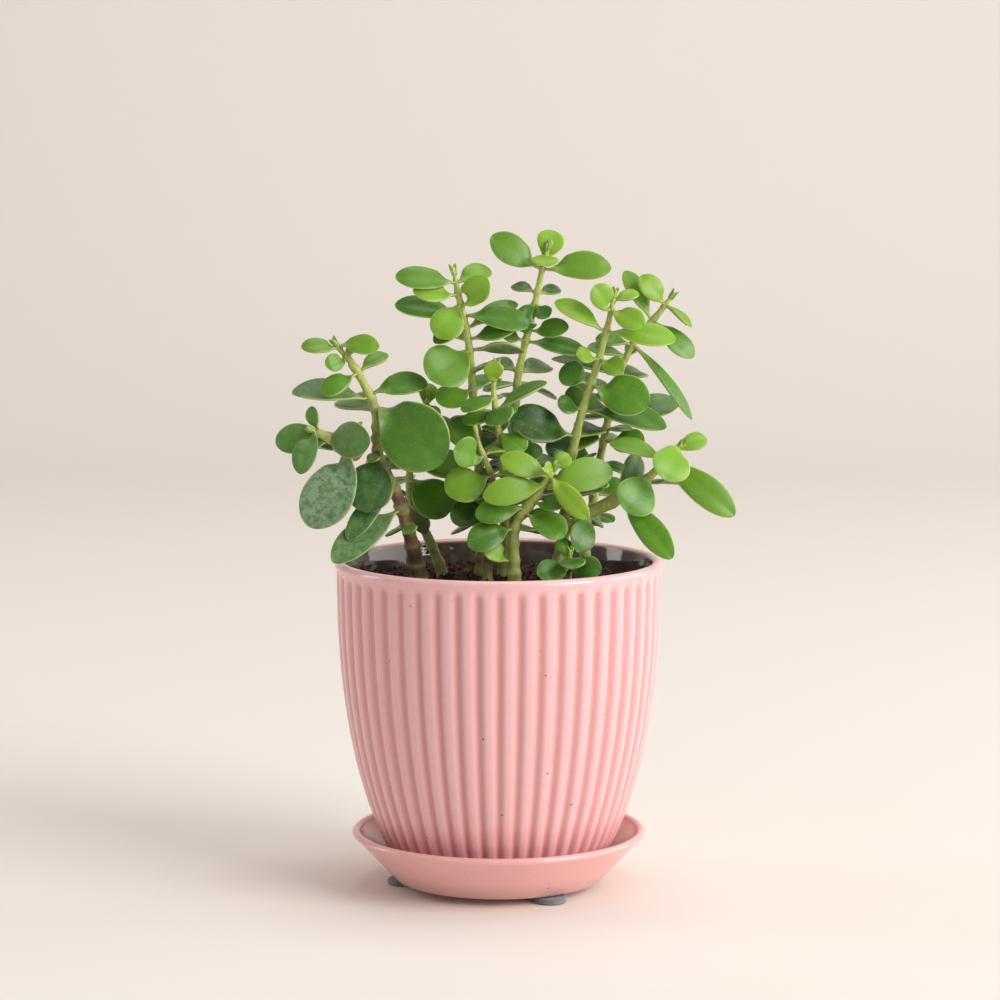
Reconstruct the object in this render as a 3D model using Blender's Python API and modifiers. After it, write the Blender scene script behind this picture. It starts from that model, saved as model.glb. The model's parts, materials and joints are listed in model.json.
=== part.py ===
"""Potted jade plant at rest: a ribbed pot on its saucer, the soil in it, and a plant of twelve shoots.

Frame: metres, +Z up, the front towards -Y, and the origin at the centre of the saucer's flat underside.
The sizes below are millimetres. MM turns them into metres where the geometry is made.

A shoot is a bare stem with leaves in opposite pairs. The two leaves of a pair are grown together round the
stem, so a pair, or two or three pairs that sit close above each other, is one solid with a short collar
that the stem passes through. The highest leaves of a shoot are one solid with its growing tip.
"""

import math
from typing import NamedTuple

import bmesh
import bpy
from mathutils import Matrix, Vector
from mathutils.bvhtree import BVHTree

MM = 0.001
NAME = "potted_jade_plant"

# Clearances
GAP = 0.3  # between two solids that touch
LEAF_AIR = 0.3  # least air between a leaf and its neighbours

# Saucer
SAUCER_HEIGHT = 18.6
SAUCER_FOOT_MARGIN = 2.0  # the saucer's foot is this much wider than the pot's
SAUCER_SPREAD = 16.0  # from the saucer's foot out to its lip
SAUCER_FLOOR = 3.6
SAUCER_WALL = 2.9
SAUCER_SIDES = 40
REST_FACE_RADIUS = 24.0
PAD_STEP = 0.5  # how much higher than the middle of the saucer's underside its edge lies, over the pads

# Felt pads under the saucer
PAD_RADIUS = 5.5
PAD_DROP = 2.0  # how far the pads reach below the saucer
PAD_INSET = 2.0
PAD_ANGLES = (62.0, 182.0, 302.0)

# Pot
POT_HEIGHT = 111.0
POT_RADIUS = 57.2
POT_FOOT_RADIUS = 34.0
POT_WALL = 3.8
POT_FLOOR = 4.5
DRAIN_RADIUS = 5.0
RIB_COUNT = 50
RIB_DEPTH = 1.1
RIM_BAND = 6.5  # smooth band above the ribs
LIP_FLARE = 0.5

# Soil
SOIL_BELOW_RIM = 9.5
SOIL_MOUND = 2.5
ROOTED = 9.0  # how deep a stem stands in the soil

# Plant
PLANT_SCALE = 1.0
COLLAR_WALL = 1.0
COLLAR_REACH = 1.1  # how far a collar runs past the leaves that it carries
BUD_LENGTH = 3.0
STEM_STEP = 4.0  # spacing of the sections of a stem and of what goes round it
LEAST_STEP = 1.0  # between the end of a collar or a socket and its next section
TUBE_SIDES = 6
FRONT = Vector((0.0, -1.0, 0.0))
LEAF_STATIONS = (0.0, 0.3, 0.6, 0.85)
LEAF_ARCH = 0.06
LEAF_NECK = 1.0
LEAF_NECK_PER_WIDTH = 0.03
TIP_SWELLING = 0.5  # how much thicker than its stem a growing tip is
LEAF_THICKNESS = 1.5
LEAF_THICKNESS_PER_WIDTH = 0.05
NUDGE_STEP = 5.0
NUDGE_STEPS = 10

# What follows from the sizes above
SAUCER_FOOT_RADIUS = POT_FOOT_RADIUS + SAUCER_FOOT_MARGIN
SAUCER_RADIUS = SAUCER_FOOT_RADIUS + SAUCER_SPREAD
POT_BASE = SAUCER_FLOOR + GAP
RIM_HEIGHT = POT_BASE + POT_HEIGHT
SOIL_EDGE = RIM_HEIGHT - SOIL_BELOW_RIM
SOIL_TOP = SOIL_EDGE + SOIL_MOUND


class Leaf(NamedTuple):
    """One leaf: its tip from the stem's middle, its width, and by how many degrees its upper face turns from
    the stem's tip towards the front."""

    tip: tuple
    width: float
    face: float


class Pair(NamedTuple):
    """The leaves at one height above the soil."""

    height: float
    leaves: tuple


class Shoot(NamedTuple):
    """One stem from the soil, or from another stem, and its leaves from the tip down. Each entry of groups
    is one solid."""

    name: str
    thick: float
    fine: float
    path: tuple
    groups: tuple
    rooted: bool = True
    has_tip: bool = True
    age: float = 0.0


SHOOTS = (
    Shoot(
        "a", 2.4, 1.0,
        ((-6, 6, 0), (-7, 6, 40), (-9, 4, 63), (-10.5, 2, 82), (-13, 0, 95), (-15, -1, 103), (-15.5, -1, 108)),
        (
            (Pair(104, (Leaf((-21, -3, 2), 10, 50), Leaf((12, 6, 4), 9, 50))),),
            (
                Pair(100, (Leaf((-15, -7, 1), 9, 50), Leaf((9, 10, 3), 8, 10))),
                Pair(96, (Leaf((9, -7, 10), 10, 80), Leaf((-8, -8, -11), 12, 80))),
            ),
            (Pair(92, (Leaf((-24, 3, 4), 9.5, 40), Leaf((23, -2, -3), 10, 45))),),
            (
                Pair(88, (Leaf((18, 8, 8), 8, 40), Leaf((-11, -6, -5), 7, 40))),
                Pair(84, (Leaf((17, -4, 4), 8, 40), Leaf((-12, 10, 4), 9, 10))),
                Pair(80, (Leaf((19, 2, -1), 9, -30), Leaf((-14, -13, -9), 17, 75))),
            ),
            (
                Pair(66, (Leaf((-12, -9, -4), 11, 50), Leaf((7, 10, 4), 9, 10))),
                Pair(58, (Leaf((-6, -10, -11), 11, 70), Leaf((4, 13, -4), 11, 10))),
            ),
        ),
    ),
    Shoot(
        "b", 2.2, 1.0,
        ((5, 16, 0), (5, 14, 40), (6.5, 10, 68), (9.5, 8, 83), (12, 7, 93), (14.5, 6, 105), (16.5, 6, 114)),
        (
            (Pair(112.5, (Leaf((3, 3, 9), 10, 80), Leaf((0, -9, -3), 10, 85))),),
            (Pair(108.5, (Leaf((-18, 0, 11), 11.5, 60), Leaf((24, -2, 0), 11, 60))),),
            (
                Pair(100, (Leaf((-9, 5, 2), 6, 30), Leaf((8, 6, 1), 6, 30))),
                Pair(95.5, (Leaf((-5, -7, -4), 6.5, 70), Leaf((4, -7, -4), 6.5, 70))),
            ),
            (
                Pair(87, (Leaf((-2, -8, 3), 6.5, 80), Leaf((14, -5, 1), 7.5, 60))),
                Pair(83, (Leaf((-9, -3, 3), 7, 40), Leaf((21, -2, -4), 8, 45))),
            ),
            (Pair(72, (Leaf((-12, 9, 2), 10, 20), Leaf((11, 10, 1), 10, 20))),),
        ),
    ),
    Shoot(
        "c", 2.9, 1.1,
        (
            (-28, 0, 0), (-33, -4, 22), (-38, -6, 35), (-42, -7, 43),
            (-43, -6, 60), (-46, -7, 67), (-49.5, -8, 74), (-53.5, -8, 78.5), (-56, -8, 83),
        ),
        (
            (
                Pair(82, (Leaf((-13, -3, 0), 7, 45), Leaf((14, -4, 0), 8, 50))),
                Pair(78, (Leaf((-7, -6, -2), 6.5, 80), Leaf((3, 7, 5), 5, 30))),
            ),
            (Pair(73, (Leaf((-12, -7, -7), 8, 60), Leaf((10, 7, 6), 7, 40))),),
            (
                Pair(65, (Leaf((20, 3, 4), 10, 45), Leaf((-27, -2, 1), 12, 20))),
                Pair(60, (Leaf((24, -13, -17), 24, 85), Leaf((-12, 15, 2), 14, 10))),
            ),
            (Pair(43, (Leaf((-6, -15, -15), 17, 80), Leaf((5, 16, -5), 13, 10))),),
            (
                Pair(33, (Leaf((-15, -12, -19), 8, 70),)),
                Pair(25, (Leaf((-22, -18, -19), 12, 60), Leaf((8, 11, -9), 9, 10))),
            ),
        ),
        age=0.4,
    ),
    Shoot(
        "d", 1.7, 1.0,
        ((-45.5, -10, 45), (-50, -12, 46.5), (-58, -14, 50), (-64, -15, 54)),
        (
            (
                Pair(53.5, (Leaf((-2, 3, 8), 5, 60), Leaf((-5, -11, -14), 8.5, 80))),
                Pair(50.5, (Leaf((-19, 4, -1), 11, 60), Leaf((16, -10, -2), 13, 75))),
            ),
            (
                Pair(48.3, (Leaf((-21, 8, -1), 9, -20), Leaf((6, 12, 6), 8, 20))),
                Pair(46.7, (Leaf((-15, -10, -26), 18, 85), Leaf((-4, 17, -4), 12, 10))),
            ),
        ),
        rooted=False,
    ),
    Shoot(
        "e", 2.3, 1.0,
        (
            (22, 2, 0), (23.5, 2, 25), (26, 1, 45), (29, 0, 58),
            (31.5, 0, 66), (35, 0, 77), (38.5, -1, 91), (40, -1, 98.5),
        ),
        (
            (
                Pair(98, (Leaf((-7, 3, 3), 5.5, 30), Leaf((9, 2, 2), 6, 30))),
                Pair(94, (Leaf((-6, -4, 9), 9, 65), Leaf((11, -8, -5), 9, 60))),
            ),
            (Pair(87, (Leaf((-18, 3, 10), 8.5, 40), Leaf((24, -4, -3), 10, 45))),),
            (Pair(77, (Leaf((-8, -5, 2), 7, 50), Leaf((8, -7, -4), 8, 65))),),
            (
                Pair(68, (Leaf((20, -9, -6), 15, 75), Leaf((-10, 4, 6), 10, 75))),
                Pair(59.5, (Leaf((29, -5, -6), 11, 40), Leaf((-9, -6, 2), 8, 50))),
            ),
            (Pair(50, (Leaf((-23, -6, 7), 15, 50), Leaf((8, 13, 2), 12, 10))),),
        ),
    ),
    Shoot(
        "f", 2.0, 0.9,
        (
            (30, 18, 0), (36, 17, 40), (42, 14, 68), (47.5, 12, 82),
            (53.5, 11, 89), (58, 10, 94.5), (60.5, 10, 98),
        ),
        (
            (Pair(95.5, (Leaf((-9, -1, 10), 8.5, 65), Leaf((9, -3, -8), 7, 10))),),
            (Pair(90, (Leaf((-10, 4, 17), 8, 50), Leaf((14, -4, -13), 9, 50))),),
            (Pair(81, (Leaf((-13, -2, 2), 7, 30), Leaf((21, -4, -26), 10, 30))),),
            (Pair(70, (Leaf((-24, -1, 6), 8, 15), Leaf((9, 12, 0), 10, 10))),),
            (
                Pair(55, (Leaf((25, 1, 5), 12, 30), Leaf((-8, 13, -2), 12, 10))),
                Pair(47, (Leaf((14, -7, -1), 12, 45), Leaf((9, 13, -3), 11, 10))),
            ),
        ),
    ),
    Shoot(
        "g", 2.4, 1.2,
        ((5.5, -14, 0), (5.5, -14, 19), (10, -15, 27), (14, -16, 32), (18, -17, 37.5), (19, -18, 42.5)),
        (
            (
                Pair(41, (Leaf((6, 2, 4), 6, 70), Leaf((-3, -7, 0), 5, 85))),
                Pair(37.5, (Leaf((-17, -1, 7), 9, 60), Leaf((13, -13, -13), 12, 85))),
                Pair(34, (Leaf((-21, -6, -3), 10, 60), Leaf((24, 6, 5), 12, 60))),
            ),
            (
                Pair(29.5, (Leaf((11, -7, -1), 7, 50), Leaf((-8, 9, 0), 8, 10))),
                Pair(25.5, (Leaf((-17, -6, -1), 9, 55), Leaf((14, -8, -8), 11, 55))),
            ),
            (Pair(19, (Leaf((-16, -8, -5), 11, 65), Leaf((9, 11, -3), 9, 10))),),
            (Pair(8, (Leaf((-11, -2, 6), 8, 50),)),),
        ),
        age=0.4,
    ),
    Shoot(
        "h", 2.0, 1.0,
        (
            (19, -10, 0), (23, -10, 17), (30, -11, 23.5), (36, -11, 26.5),
            (42, -12, 29.5), (51, -13, 36), (57, -13, 42), (63, -14, 49),
        ),
        (
            (
                Pair(47.5, (Leaf((11, 3, 2), 7, 40), Leaf((-5, -11, -10), 14, 85))),
                Pair(42.5, (Leaf((-19, 3, 6), 8, 35), Leaf((24, -7, -18), 13, 75))),
            ),
            (Pair(36.5, (Leaf((-8, -11, -10), 15, 80), Leaf((16, 5, -3), 9, -20))),),
            (Pair(30, (Leaf((17, -12, -20), 16, 80), Leaf((6, 8, 14), 9, 30))),),
            (Pair(24, (Leaf((-4, -10, -12), 10, 60), Leaf((4, 14, -3), 10, 10))),),
        ),
    ),
    Shoot(
        "i", 1.8, 0.8,
        ((-4, -8, 0), (-3, -9, 20), (-2, -10, 35), (-4.5, -11, 42), (-7.5, -13, 50), (-8.5, -14, 56)),
        (
            (
                Pair(44.5, (Leaf((-10, -8, 3), 11, 75), Leaf((9, 7, 4), 7, 10))),
                Pair(37, (Leaf((-16, -6, -5), 14, 55), Leaf((9, 9, -1), 9, 10))),
            ),
            (Pair(26, (Leaf((-14, -5, -4), 11, 55), Leaf((7, 9, -3), 8, 10))),),
        ),
        has_tip=False,
        age=0.4,
    ),
    Shoot(
        "j", 1.8, 0.9,
        ((1, 2, 0), (2, 1, 25), (1, -2, 45), (-1, -4, 58), (-2, -4, 68), (-2, -4, 72)),
        (
            (Pair(70, (Leaf((0, -4, 7), 7, 80), Leaf((2, 6, 5), 5, 30))),),
            (
                Pair(60, (Leaf((3, -12, -4), 11, 80), Leaf((18, 4, 9), 8, 20))),
                Pair(51, (Leaf((-8, 11, 1), 10, 10), Leaf((9, -9, -3), 9, 50))),
            ),
        ),
    ),
    Shoot(
        "k", 1.7, 0.9,
        ((24, -22, 0), (24, -23, 6), (24.5, -24, 11)),
        (
            (
                Pair(10, (Leaf((1, -12, -2), 9, 70), Leaf((-3, 7, 6), 6, 30))),
                Pair(6.5, (Leaf((-11, -8, -1), 9, 60), Leaf((11, -7, 0), 9, 60))),
            ),
        ),
        age=0.4,
    ),
    Shoot(
        "l", 2.0, 0.9,
        ((-20, 8, 0), (-25, 8, 13), (-31, 7, 27), (-31, 5, 40), (-27, 4, 55), (-25, 3, 63)),
        (
            (Pair(61, (Leaf((1, -8, -6), 9, 85), Leaf((1, 3, 7), 7, 60))),),
            (
                Pair(42, (Leaf((19, -9, -4), 13, 50), Leaf((-10, 13, 2), 12, 10))),
                Pair(34, (Leaf((13, -9, -12), 15, 60), Leaf((-6, 14, -4), 12, 10))),
            ),
        ),
        age=0.4,
    ),
)

# Materials: base colour, roughness, metallic
POT_GLAZE = ((0.78, 0.42, 0.38), 0.35, 0.0)
SAUCER_GLAZE = ((0.80, 0.44, 0.39), 0.3, 0.0)
FELT = ((0.30, 0.33, 0.38), 0.95, 0.0)
SOIL = ((0.035, 0.02, 0.015), 0.95, 0.0)
STEM = ((0.20, 0.17, 0.06), 0.6, 0.0)
YOUNG_LEAF = (0.40, 0.58, 0.10)
OLD_LEAF = (0.06, 0.17, 0.03)
LEAF_ROUGHNESS = 0.38


# ---------------------------------------------------------------- scene and objects


def clear_scene():
    for obj in list(bpy.data.objects):
        bpy.data.objects.remove(obj, do_unlink=True)


def new_collection(name):
    collection = bpy.data.collections.new(name)
    bpy.context.scene.collection.children.link(collection)
    return collection


def new_material(name, finish):
    colour, roughness, metallic = finish
    material = bpy.data.materials.new(name)
    material.use_nodes = True
    shader = material.node_tree.nodes["Principled BSDF"]
    shader.inputs["Base Color"].default_value = (*colour, 1.0)
    shader.inputs["Roughness"].default_value = roughness
    shader.inputs["Metallic"].default_value = metallic
    return material


def mesh_object(name, mesh, collection):
    obj = bpy.data.objects.new(name, mesh)
    collection.objects.link(obj)
    return obj


def finish_piece(obj, finish, smooth_angle=40.0):
    obj.data.materials.append(new_material(obj.name, finish))
    if obj.type == "MESH":
        obj.data.shade_smooth()
        obj.data.set_sharp_from_angle(angle=math.radians(smooth_angle))


def hide_helper(obj):
    obj.hide_render = True
    obj.display_type = "WIRE"


def evaluated_mesh(obj):
    """A copy of the object's mesh with its modifiers or its bevel in it, its caps joined on, in triangles."""
    graph = bpy.context.evaluated_depsgraph_get()
    mesh = bpy.data.meshes.new_from_object(obj.evaluated_get(graph), depsgraph=graph)
    mesh.transform(obj.matrix_world)
    work = bmesh.new()
    work.from_mesh(mesh)
    bmesh.ops.remove_doubles(work, verts=work.verts, dist=0.01 * MM)
    bmesh.ops.triangulate(work, faces=work.faces)
    work.to_mesh(mesh)
    work.free()
    return mesh


def add_boolean(obj, other, operation, solver="EXACT"):
    modifier = obj.modifiers.new(other.name, "BOOLEAN")
    modifier.operation = operation
    modifier.object = other
    modifier.solver = solver


def turned(name, profile, sides, collection, closed=False):
    """A turned piece. The profile is (radius, height) in millimetres, and runs down its outer side."""
    mesh = bpy.data.meshes.new(name)
    points = [(radius * MM, 0.0, height * MM) for radius, height in profile]
    edges = [(i, i + 1) for i in range(len(points) - 1)]
    if closed:
        edges.append((len(points) - 1, 0))
    mesh.from_pydata(points, edges, [])
    obj = mesh_object(name, mesh, collection)
    screw = obj.modifiers.new("Turn", "SCREW")
    screw.steps = sides
    screw.render_steps = sides
    screw.use_merge_vertices = True
    screw.merge_threshold = 0.00001
    return obj


def tube(name, points, radii, collection):
    """A tapered tube with filled ends along points in millimetres. Its corners lie at the radii."""
    curve = bpy.data.curves.new(name, "CURVE")
    curve.dimensions = "3D"
    curve.bevel_depth = MM
    curve.bevel_resolution = TUBE_SIDES // 2 - 2
    curve.use_fill_caps = True
    spline = curve.splines.new("POLY")
    spline.points.add(len(points) - 1)
    for spot, point, radius in zip(spline.points, points, radii):
        spot.co = (*(point * MM), 1.0)
        spot.radius = radius
    return mesh_object(name, curve, collection)


def solid_tube(name, points, radii, collection):
    """The same tube as a mesh, which a Boolean can take."""
    curve = tube(f"{name}_curve", points, radii, collection)
    obj = mesh_object(name, evaluated_mesh(curve), collection)
    bpy.data.objects.remove(curve, do_unlink=True)
    return obj


# ---------------------------------------------------------------- pot, saucer, pads and soil


def pot_radius(height):
    """The pot's outer radius over its ribs, at a height above its base."""
    share = min(max(height / POT_HEIGHT, 0.0), 1.0)
    swell = (1.0 - (1.0 - share) ** 2.45) ** 0.8
    return POT_FOOT_RADIUS + (POT_RADIUS - POT_FOOT_RADIUS) * swell


def pot_bore(height):
    """The radius of the pot's inside at a height above its base."""
    return pot_radius(height) - POT_WALL


def pot_profile():
    lip = POT_WALL / 2
    lip_middle = POT_RADIUS + LIP_FLARE - lip
    lip_centre = POT_HEIGHT - lip
    inside = [(pot_bore(share * POT_HEIGHT), share * POT_HEIGHT) for share in (0.15, 0.4)]
    inside.append((pot_bore(POT_HEIGHT), POT_HEIGHT - SOIL_BELOW_RIM - POT_WALL))
    rounding = [
        (lip_middle - lip * math.cos(math.radians(turn)), lip_centre + lip * math.sin(math.radians(turn)))
        for turn in (0.0, 60.0, 120.0, 180.0)
    ]
    ribs = [(pot_radius(height), height) for height in rib_rows()]
    foot = [(POT_FOOT_RADIUS, 0.0)]
    floor = [(DRAIN_RADIUS, POT_FLOOR), (pot_bore(POT_FLOOR), POT_FLOOR)]
    return floor + inside + rounding + ribs + foot + [(DRAIN_RADIUS, 0.0)]


def rib_rows():
    """Heights of the outer sections, from the smooth band under the lip down to the foot."""
    top = POT_HEIGHT - RIM_BAND
    shares = (0.96, 0.7, 0.45, 0.25, 0.1)
    return [top + 0.3 * RIM_BAND] + [share * top for share in shares]


def cut_ribs(mesh):
    """Pulls every second line of the outer wall in, which leaves RIB_COUNT ribs with a groove at the front."""
    top = (POT_BASE + POT_HEIGHT - RIM_BAND) * MM
    for vertex in mesh.vertices:
        radius = math.hypot(vertex.co.x, vertex.co.y)
        outer = pot_radius(vertex.co.z / MM - POT_BASE) - POT_WALL / 2
        if vertex.co.z > top or radius < outer * MM:
            continue
        angle = math.atan2(vertex.co.y, vertex.co.x)
        groove = RIB_DEPTH * MM * (1.0 - math.cos(RIB_COUNT * angle)) / 2
        vertex.co.x -= groove * math.cos(angle)
        vertex.co.y -= groove * math.sin(angle)


def make_pot(collection):
    profile = [(radius, height + POT_BASE) for radius, height in pot_profile()]
    blank = turned("pot_blank", profile, 2 * RIB_COUNT, collection, closed=True)
    mesh = evaluated_mesh(blank)
    bpy.data.objects.remove(blank, do_unlink=True)
    cut_ribs(mesh)
    mesh.materials.clear()
    pot = mesh_object("pot", mesh, collection)
    finish_piece(pot, POT_GLAZE)
    return pot


def saucer_side(share):
    """The saucer's outer radius and height, from its foot (0) to its lip (1). Its side is almost straight."""
    return (
        SAUCER_FOOT_RADIUS + SAUCER_SPREAD * share,
        (SAUCER_HEIGHT - SAUCER_WALL / 2) * share**1.08,
    )


def make_saucer(collection):
    lip = SAUCER_WALL / 2
    lip_centre = SAUCER_HEIGHT - lip
    inside = [(0.0, SAUCER_FLOOR), (SAUCER_FOOT_RADIUS, SAUCER_FLOOR)]
    for share in (0.45, 0.7, 0.88):
        radius, height = saucer_side(share)
        inside.append((radius - SAUCER_WALL, height + SAUCER_WALL * (1.0 - share)))
    rounding = [
        (SAUCER_RADIUS - lip - lip * math.cos(math.radians(turn)), lip_centre + lip * math.sin(math.radians(turn)))
        for turn in (0.0, 60.0, 120.0, 180.0)
    ]
    outside = [saucer_side(share) for share in (0.85, 0.65, 0.42, 0.2)]
    step = [(SAUCER_FOOT_RADIUS, PAD_STEP), (REST_FACE_RADIUS + PAD_STEP, PAD_STEP)]
    underside = step + [(REST_FACE_RADIUS, 0.0), (0.0, 0.0)]
    saucer = turned("saucer", inside + rounding + outside + underside, SAUCER_SIDES, collection)
    finish_piece(saucer, SAUCER_GLAZE)
    return saucer


def make_pads(collection):
    pitch = SAUCER_FOOT_RADIUS - PAD_INSET
    top = PAD_STEP - GAP
    for number, degrees in enumerate(PAD_ANGLES, start=1):
        angle = math.radians(degrees)
        middle = Vector((pitch * math.cos(angle), pitch * math.sin(angle), (top - PAD_DROP) / 2))
        bpy.ops.mesh.primitive_cylinder_add(
            vertices=20,
            radius=PAD_RADIUS * MM,
            depth=(top + PAD_DROP) * MM,
            location=middle * MM,
        )
        pad = bpy.context.object
        pad.name = f"felt_pad_{number}"
        for owner in list(pad.users_collection):
            owner.objects.unlink(pad)
        collection.objects.link(pad)
        finish_piece(pad, FELT)


def make_soil(collection, sockets):
    """The soil fills the pot to a low mound, with a socket for each rooted stem."""
    bottom = POT_FLOOR + GAP
    edge = POT_HEIGHT - SOIL_BELOW_RIM
    mound = [
        (share * (pot_bore(edge) - GAP), edge + SOIL_MOUND * (1.0 - share**2))
        for share in (0.0, 0.35, 0.7, 1.0)
    ]
    # Sections of the wall that lie where the pot's own sections lie keep one even gap to it.
    wall = [(pot_bore(share * POT_HEIGHT) - GAP - 0.5, share * POT_HEIGHT) for share in (0.4, 0.15)]
    base = [(pot_bore(POT_FLOOR) - GAP, bottom), (0.0, bottom)]
    profile = [(radius, height + POT_BASE) for radius, height in mound + wall + base]
    soil = turned("soil", profile, SAUCER_SIDES, collection)
    for socket in sockets:
        add_boolean(soil, socket, "DIFFERENCE")
    finish_piece(soil, SOIL)
    return soil


# ---------------------------------------------------------------- stems


class Stalk:
    """The smooth middle line of a shoot, in millimetres, with its radius at each point."""

    FINE_STEPS = 12

    def __init__(self, shoot):
        start = Vector((0.0, 0.0, SOIL_TOP))
        knots = [Vector(point) * PLANT_SCALE + start for point in shoot.path]
        if shoot.rooted:
            knots.insert(0, knots[0] - Vector((0.0, 0.0, ROOTED)))
        self.points = spaced(smooth_line(knots, self.FINE_STEPS), STEM_STEP)
        self.thick = shoot.thick * PLANT_SCALE
        self.fine = shoot.fine * PLANT_SCALE

    def radius(self, height):
        low = self.points[0].z
        share = (height - low) / (self.points[-1].z - low)
        return self.thick + (self.fine - self.thick) * share

    def at(self, height):
        """The point and the direction of the line where it passes a height."""
        for lower, upper in zip(self.points, self.points[1:]):
            if lower.z <= height <= upper.z:
                share = (height - lower.z) / (upper.z - lower.z)
                return lower.lerp(upper, share), (upper - lower).normalized()
        if height < self.points[0].z:
            return self.points[0].copy(), (self.points[1] - self.points[0]).normalized()
        return self.points[-1].copy(), (self.points[-1] - self.points[-2]).normalized()

    def height_past(self, height, distance):
        """The height that lies a distance along the line above (or, below zero, under) another height."""
        direction = self.at(height)[1]
        return height + distance * max(direction.z, 0.3)

    def sections(self, low, high, around=0.0):
        """Points and radii from one height to another. A tube around the stem has that distance from it at
        its flats too, however it is turned."""
        inner = [point.z for point in self.points if low + LEAST_STEP < point.z < high - LEAST_STEP]
        heights = [low] + inner + [high]
        points = [self.at(height)[0] for height in heights]
        corners = 1.0 / math.cos(math.pi / TUBE_SIDES) if around else 1.0
        radii = [(self.radius(height) + around) * corners for height in heights]
        return points, radii


def smooth_line(knots, steps):
    """A Catmull-Rom line through the knots."""
    ends = [knots[0] * 2 - knots[1]] + list(knots) + [knots[-1] * 2 - knots[-2]]
    points = []
    for before, start, end, after in zip(ends, ends[1:], ends[2:], ends[3:]):
        for i in range(steps):
            t = i / steps
            points.append(
                0.5
                * (
                    2 * start
                    + (end - before) * t
                    + (2 * before - 5 * start + 4 * end - after) * t**2
                    + (3 * start - before - 3 * end + after) * t**3
                )
            )
    points.append(knots[-1].copy())
    return points


def spaced(points, spacing):
    """The points of a line that lie a spacing or more apart, with its two ends."""
    kept = [points[0]]
    for point in points[1:]:
        if (point - kept[-1]).length >= spacing and (points[-1] - point).length >= spacing:
            kept.append(point)
    return kept + [points[-1]]


# ---------------------------------------------------------------- leaves


def half_width(share, width):
    """Half of a leaf's width from its base (0) to its tip (1)."""
    blade = width / 2 * max(math.sin(math.pi * share**1.35), 0.0) ** 0.55
    neck = (LEAF_NECK + LEAF_NECK_PER_WIDTH * width) * (1.0 - share) ** 2
    return max(blade, neck)


class LeafPlace:
    """Where a leaf leaves its stem, and how it is turned."""

    def __init__(self, stalk, height, leaf, on_tip):
        self.leaf = leaf
        self.centre, self.axis = stalk.at(height)
        radius = stalk.radius(height)
        self.hold = 0.6 * (radius + TIP_SWELLING) if on_tip else radius + GAP + COLLAR_WALL / 2
        self.reach = Vector(leaf.tip) * PLANT_SCALE
        self.yaw = 0.0
        self.pitch = 0.0

    def size(self):
        return self.reach.length * self.leaf.width

    def tip_reach(self):
        """The tip's place from the stem's middle, after the leaf is turned clear of its neighbours."""
        side = self.reach.cross(self.axis).normalized()
        lifted = Matrix.Rotation(self.pitch, 3, side) @ self.reach
        return Matrix.Rotation(self.yaw, 3, self.axis) @ lifted

    def rings(self, swell=0.0):
        """The four-sided sections and the tip, larger all round by swell."""
        reach = self.tip_reach()
        out = (reach - reach.project(self.axis)).normalized()
        base = self.centre + out * self.hold
        tip = self.centre + reach
        chord = tip - base
        along = chord.normalized()
        face = math.radians(self.leaf.face)
        upright = self.axis * math.cos(face) + FRONT * math.sin(face)
        upright = (upright - upright.project(along)).normalized()
        width = self.leaf.width * PLANT_SCALE
        thick = (LEAF_THICKNESS + LEAF_THICKNESS_PER_WIDTH * self.leaf.width) * PLANT_SCALE
        rings = []
        for share in LEAF_STATIONS:
            grown = min(share / LEAF_STATIONS[1], 1.0)
            normal = self.axis.lerp(upright, grown).normalized()
            forward = out.lerp(along, grown).normalized()
            side = forward.cross(normal).normalized()
            rise = 4.0 * LEAF_ARCH * chord.length * share * (1.0 - share)
            middle = base + chord * share + upright * rise
            half = half_width(share, width) + swell
            deep = thick * (0.3 + 0.25 * math.sin(math.pi * share)) + swell
            rings.append([middle + side * half, middle + normal * deep, middle - side * half, middle - normal * deep])
        return rings, tip + along * swell

    def shape(self, swell=0.0):
        """Points and triangles of the leaf's closed solid."""
        rings, tip = self.rings(swell)
        points = [point for ring in rings for point in ring] + [tip]
        last = 4 * (len(rings) - 1)
        faces = [(0, 1, 2), (0, 2, 3)]
        for row in range(0, last, 4):
            for i in range(4):
                near, far = row + i, row + 4 + i
                next_near, next_far = row + (i + 1) % 4, row + 4 + (i + 1) % 4
                faces += [(near, far, next_far), (near, next_far, next_near)]
        faces += [(last + i, len(points) - 1, last + (i + 1) % 4) for i in range(4)]
        return points, faces


def box_of(points):
    return (
        [min(point[axis] for point in points) for axis in range(3)],
        [max(point[axis] for point in points) for axis in range(3)],
    )


class Obstacle:
    """A solid that leaves stay clear of."""

    def __init__(self, points, faces):
        self.low, self.high = box_of(points)
        self.tree = BVHTree.FromPolygons(points, faces)

    @classmethod
    def from_object(cls, obj):
        mesh = evaluated_mesh(obj)
        obstacle = cls(
            [vertex.co / MM for vertex in mesh.vertices],
            [tuple(face.vertices) for face in mesh.polygons],
        )
        bpy.data.meshes.remove(mesh)
        return obstacle

    def hits(self, other):
        for axis in range(3):
            if self.low[axis] > other.high[axis] or other.low[axis] > self.high[axis]:
                return False
        return bool(self.tree.overlap(other.tree))


def nudges():
    """Turns to try on a leaf, the smallest first."""
    steps = range(-NUDGE_STEPS, NUDGE_STEPS + 1)
    turns = [(yaw, pitch) for yaw in steps for pitch in steps]
    turns.sort(key=lambda turn: (turn[0] ** 2 + turn[1] ** 2, turn))
    return [(math.radians(NUDGE_STEP * yaw), math.radians(NUDGE_STEP * pitch)) for yaw, pitch in turns]


def settle(place, obstacles, turns):
    """Turns a leaf about its base by as little as brings it clear, and adds it to the obstacles."""
    for place.yaw, place.pitch in turns:
        shape = Obstacle(*place.shape(LEAF_AIR))
        if not any(obstacle.hits(shape) for obstacle in obstacles):
            break
    obstacles.append(Obstacle(*place.shape()))


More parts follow.
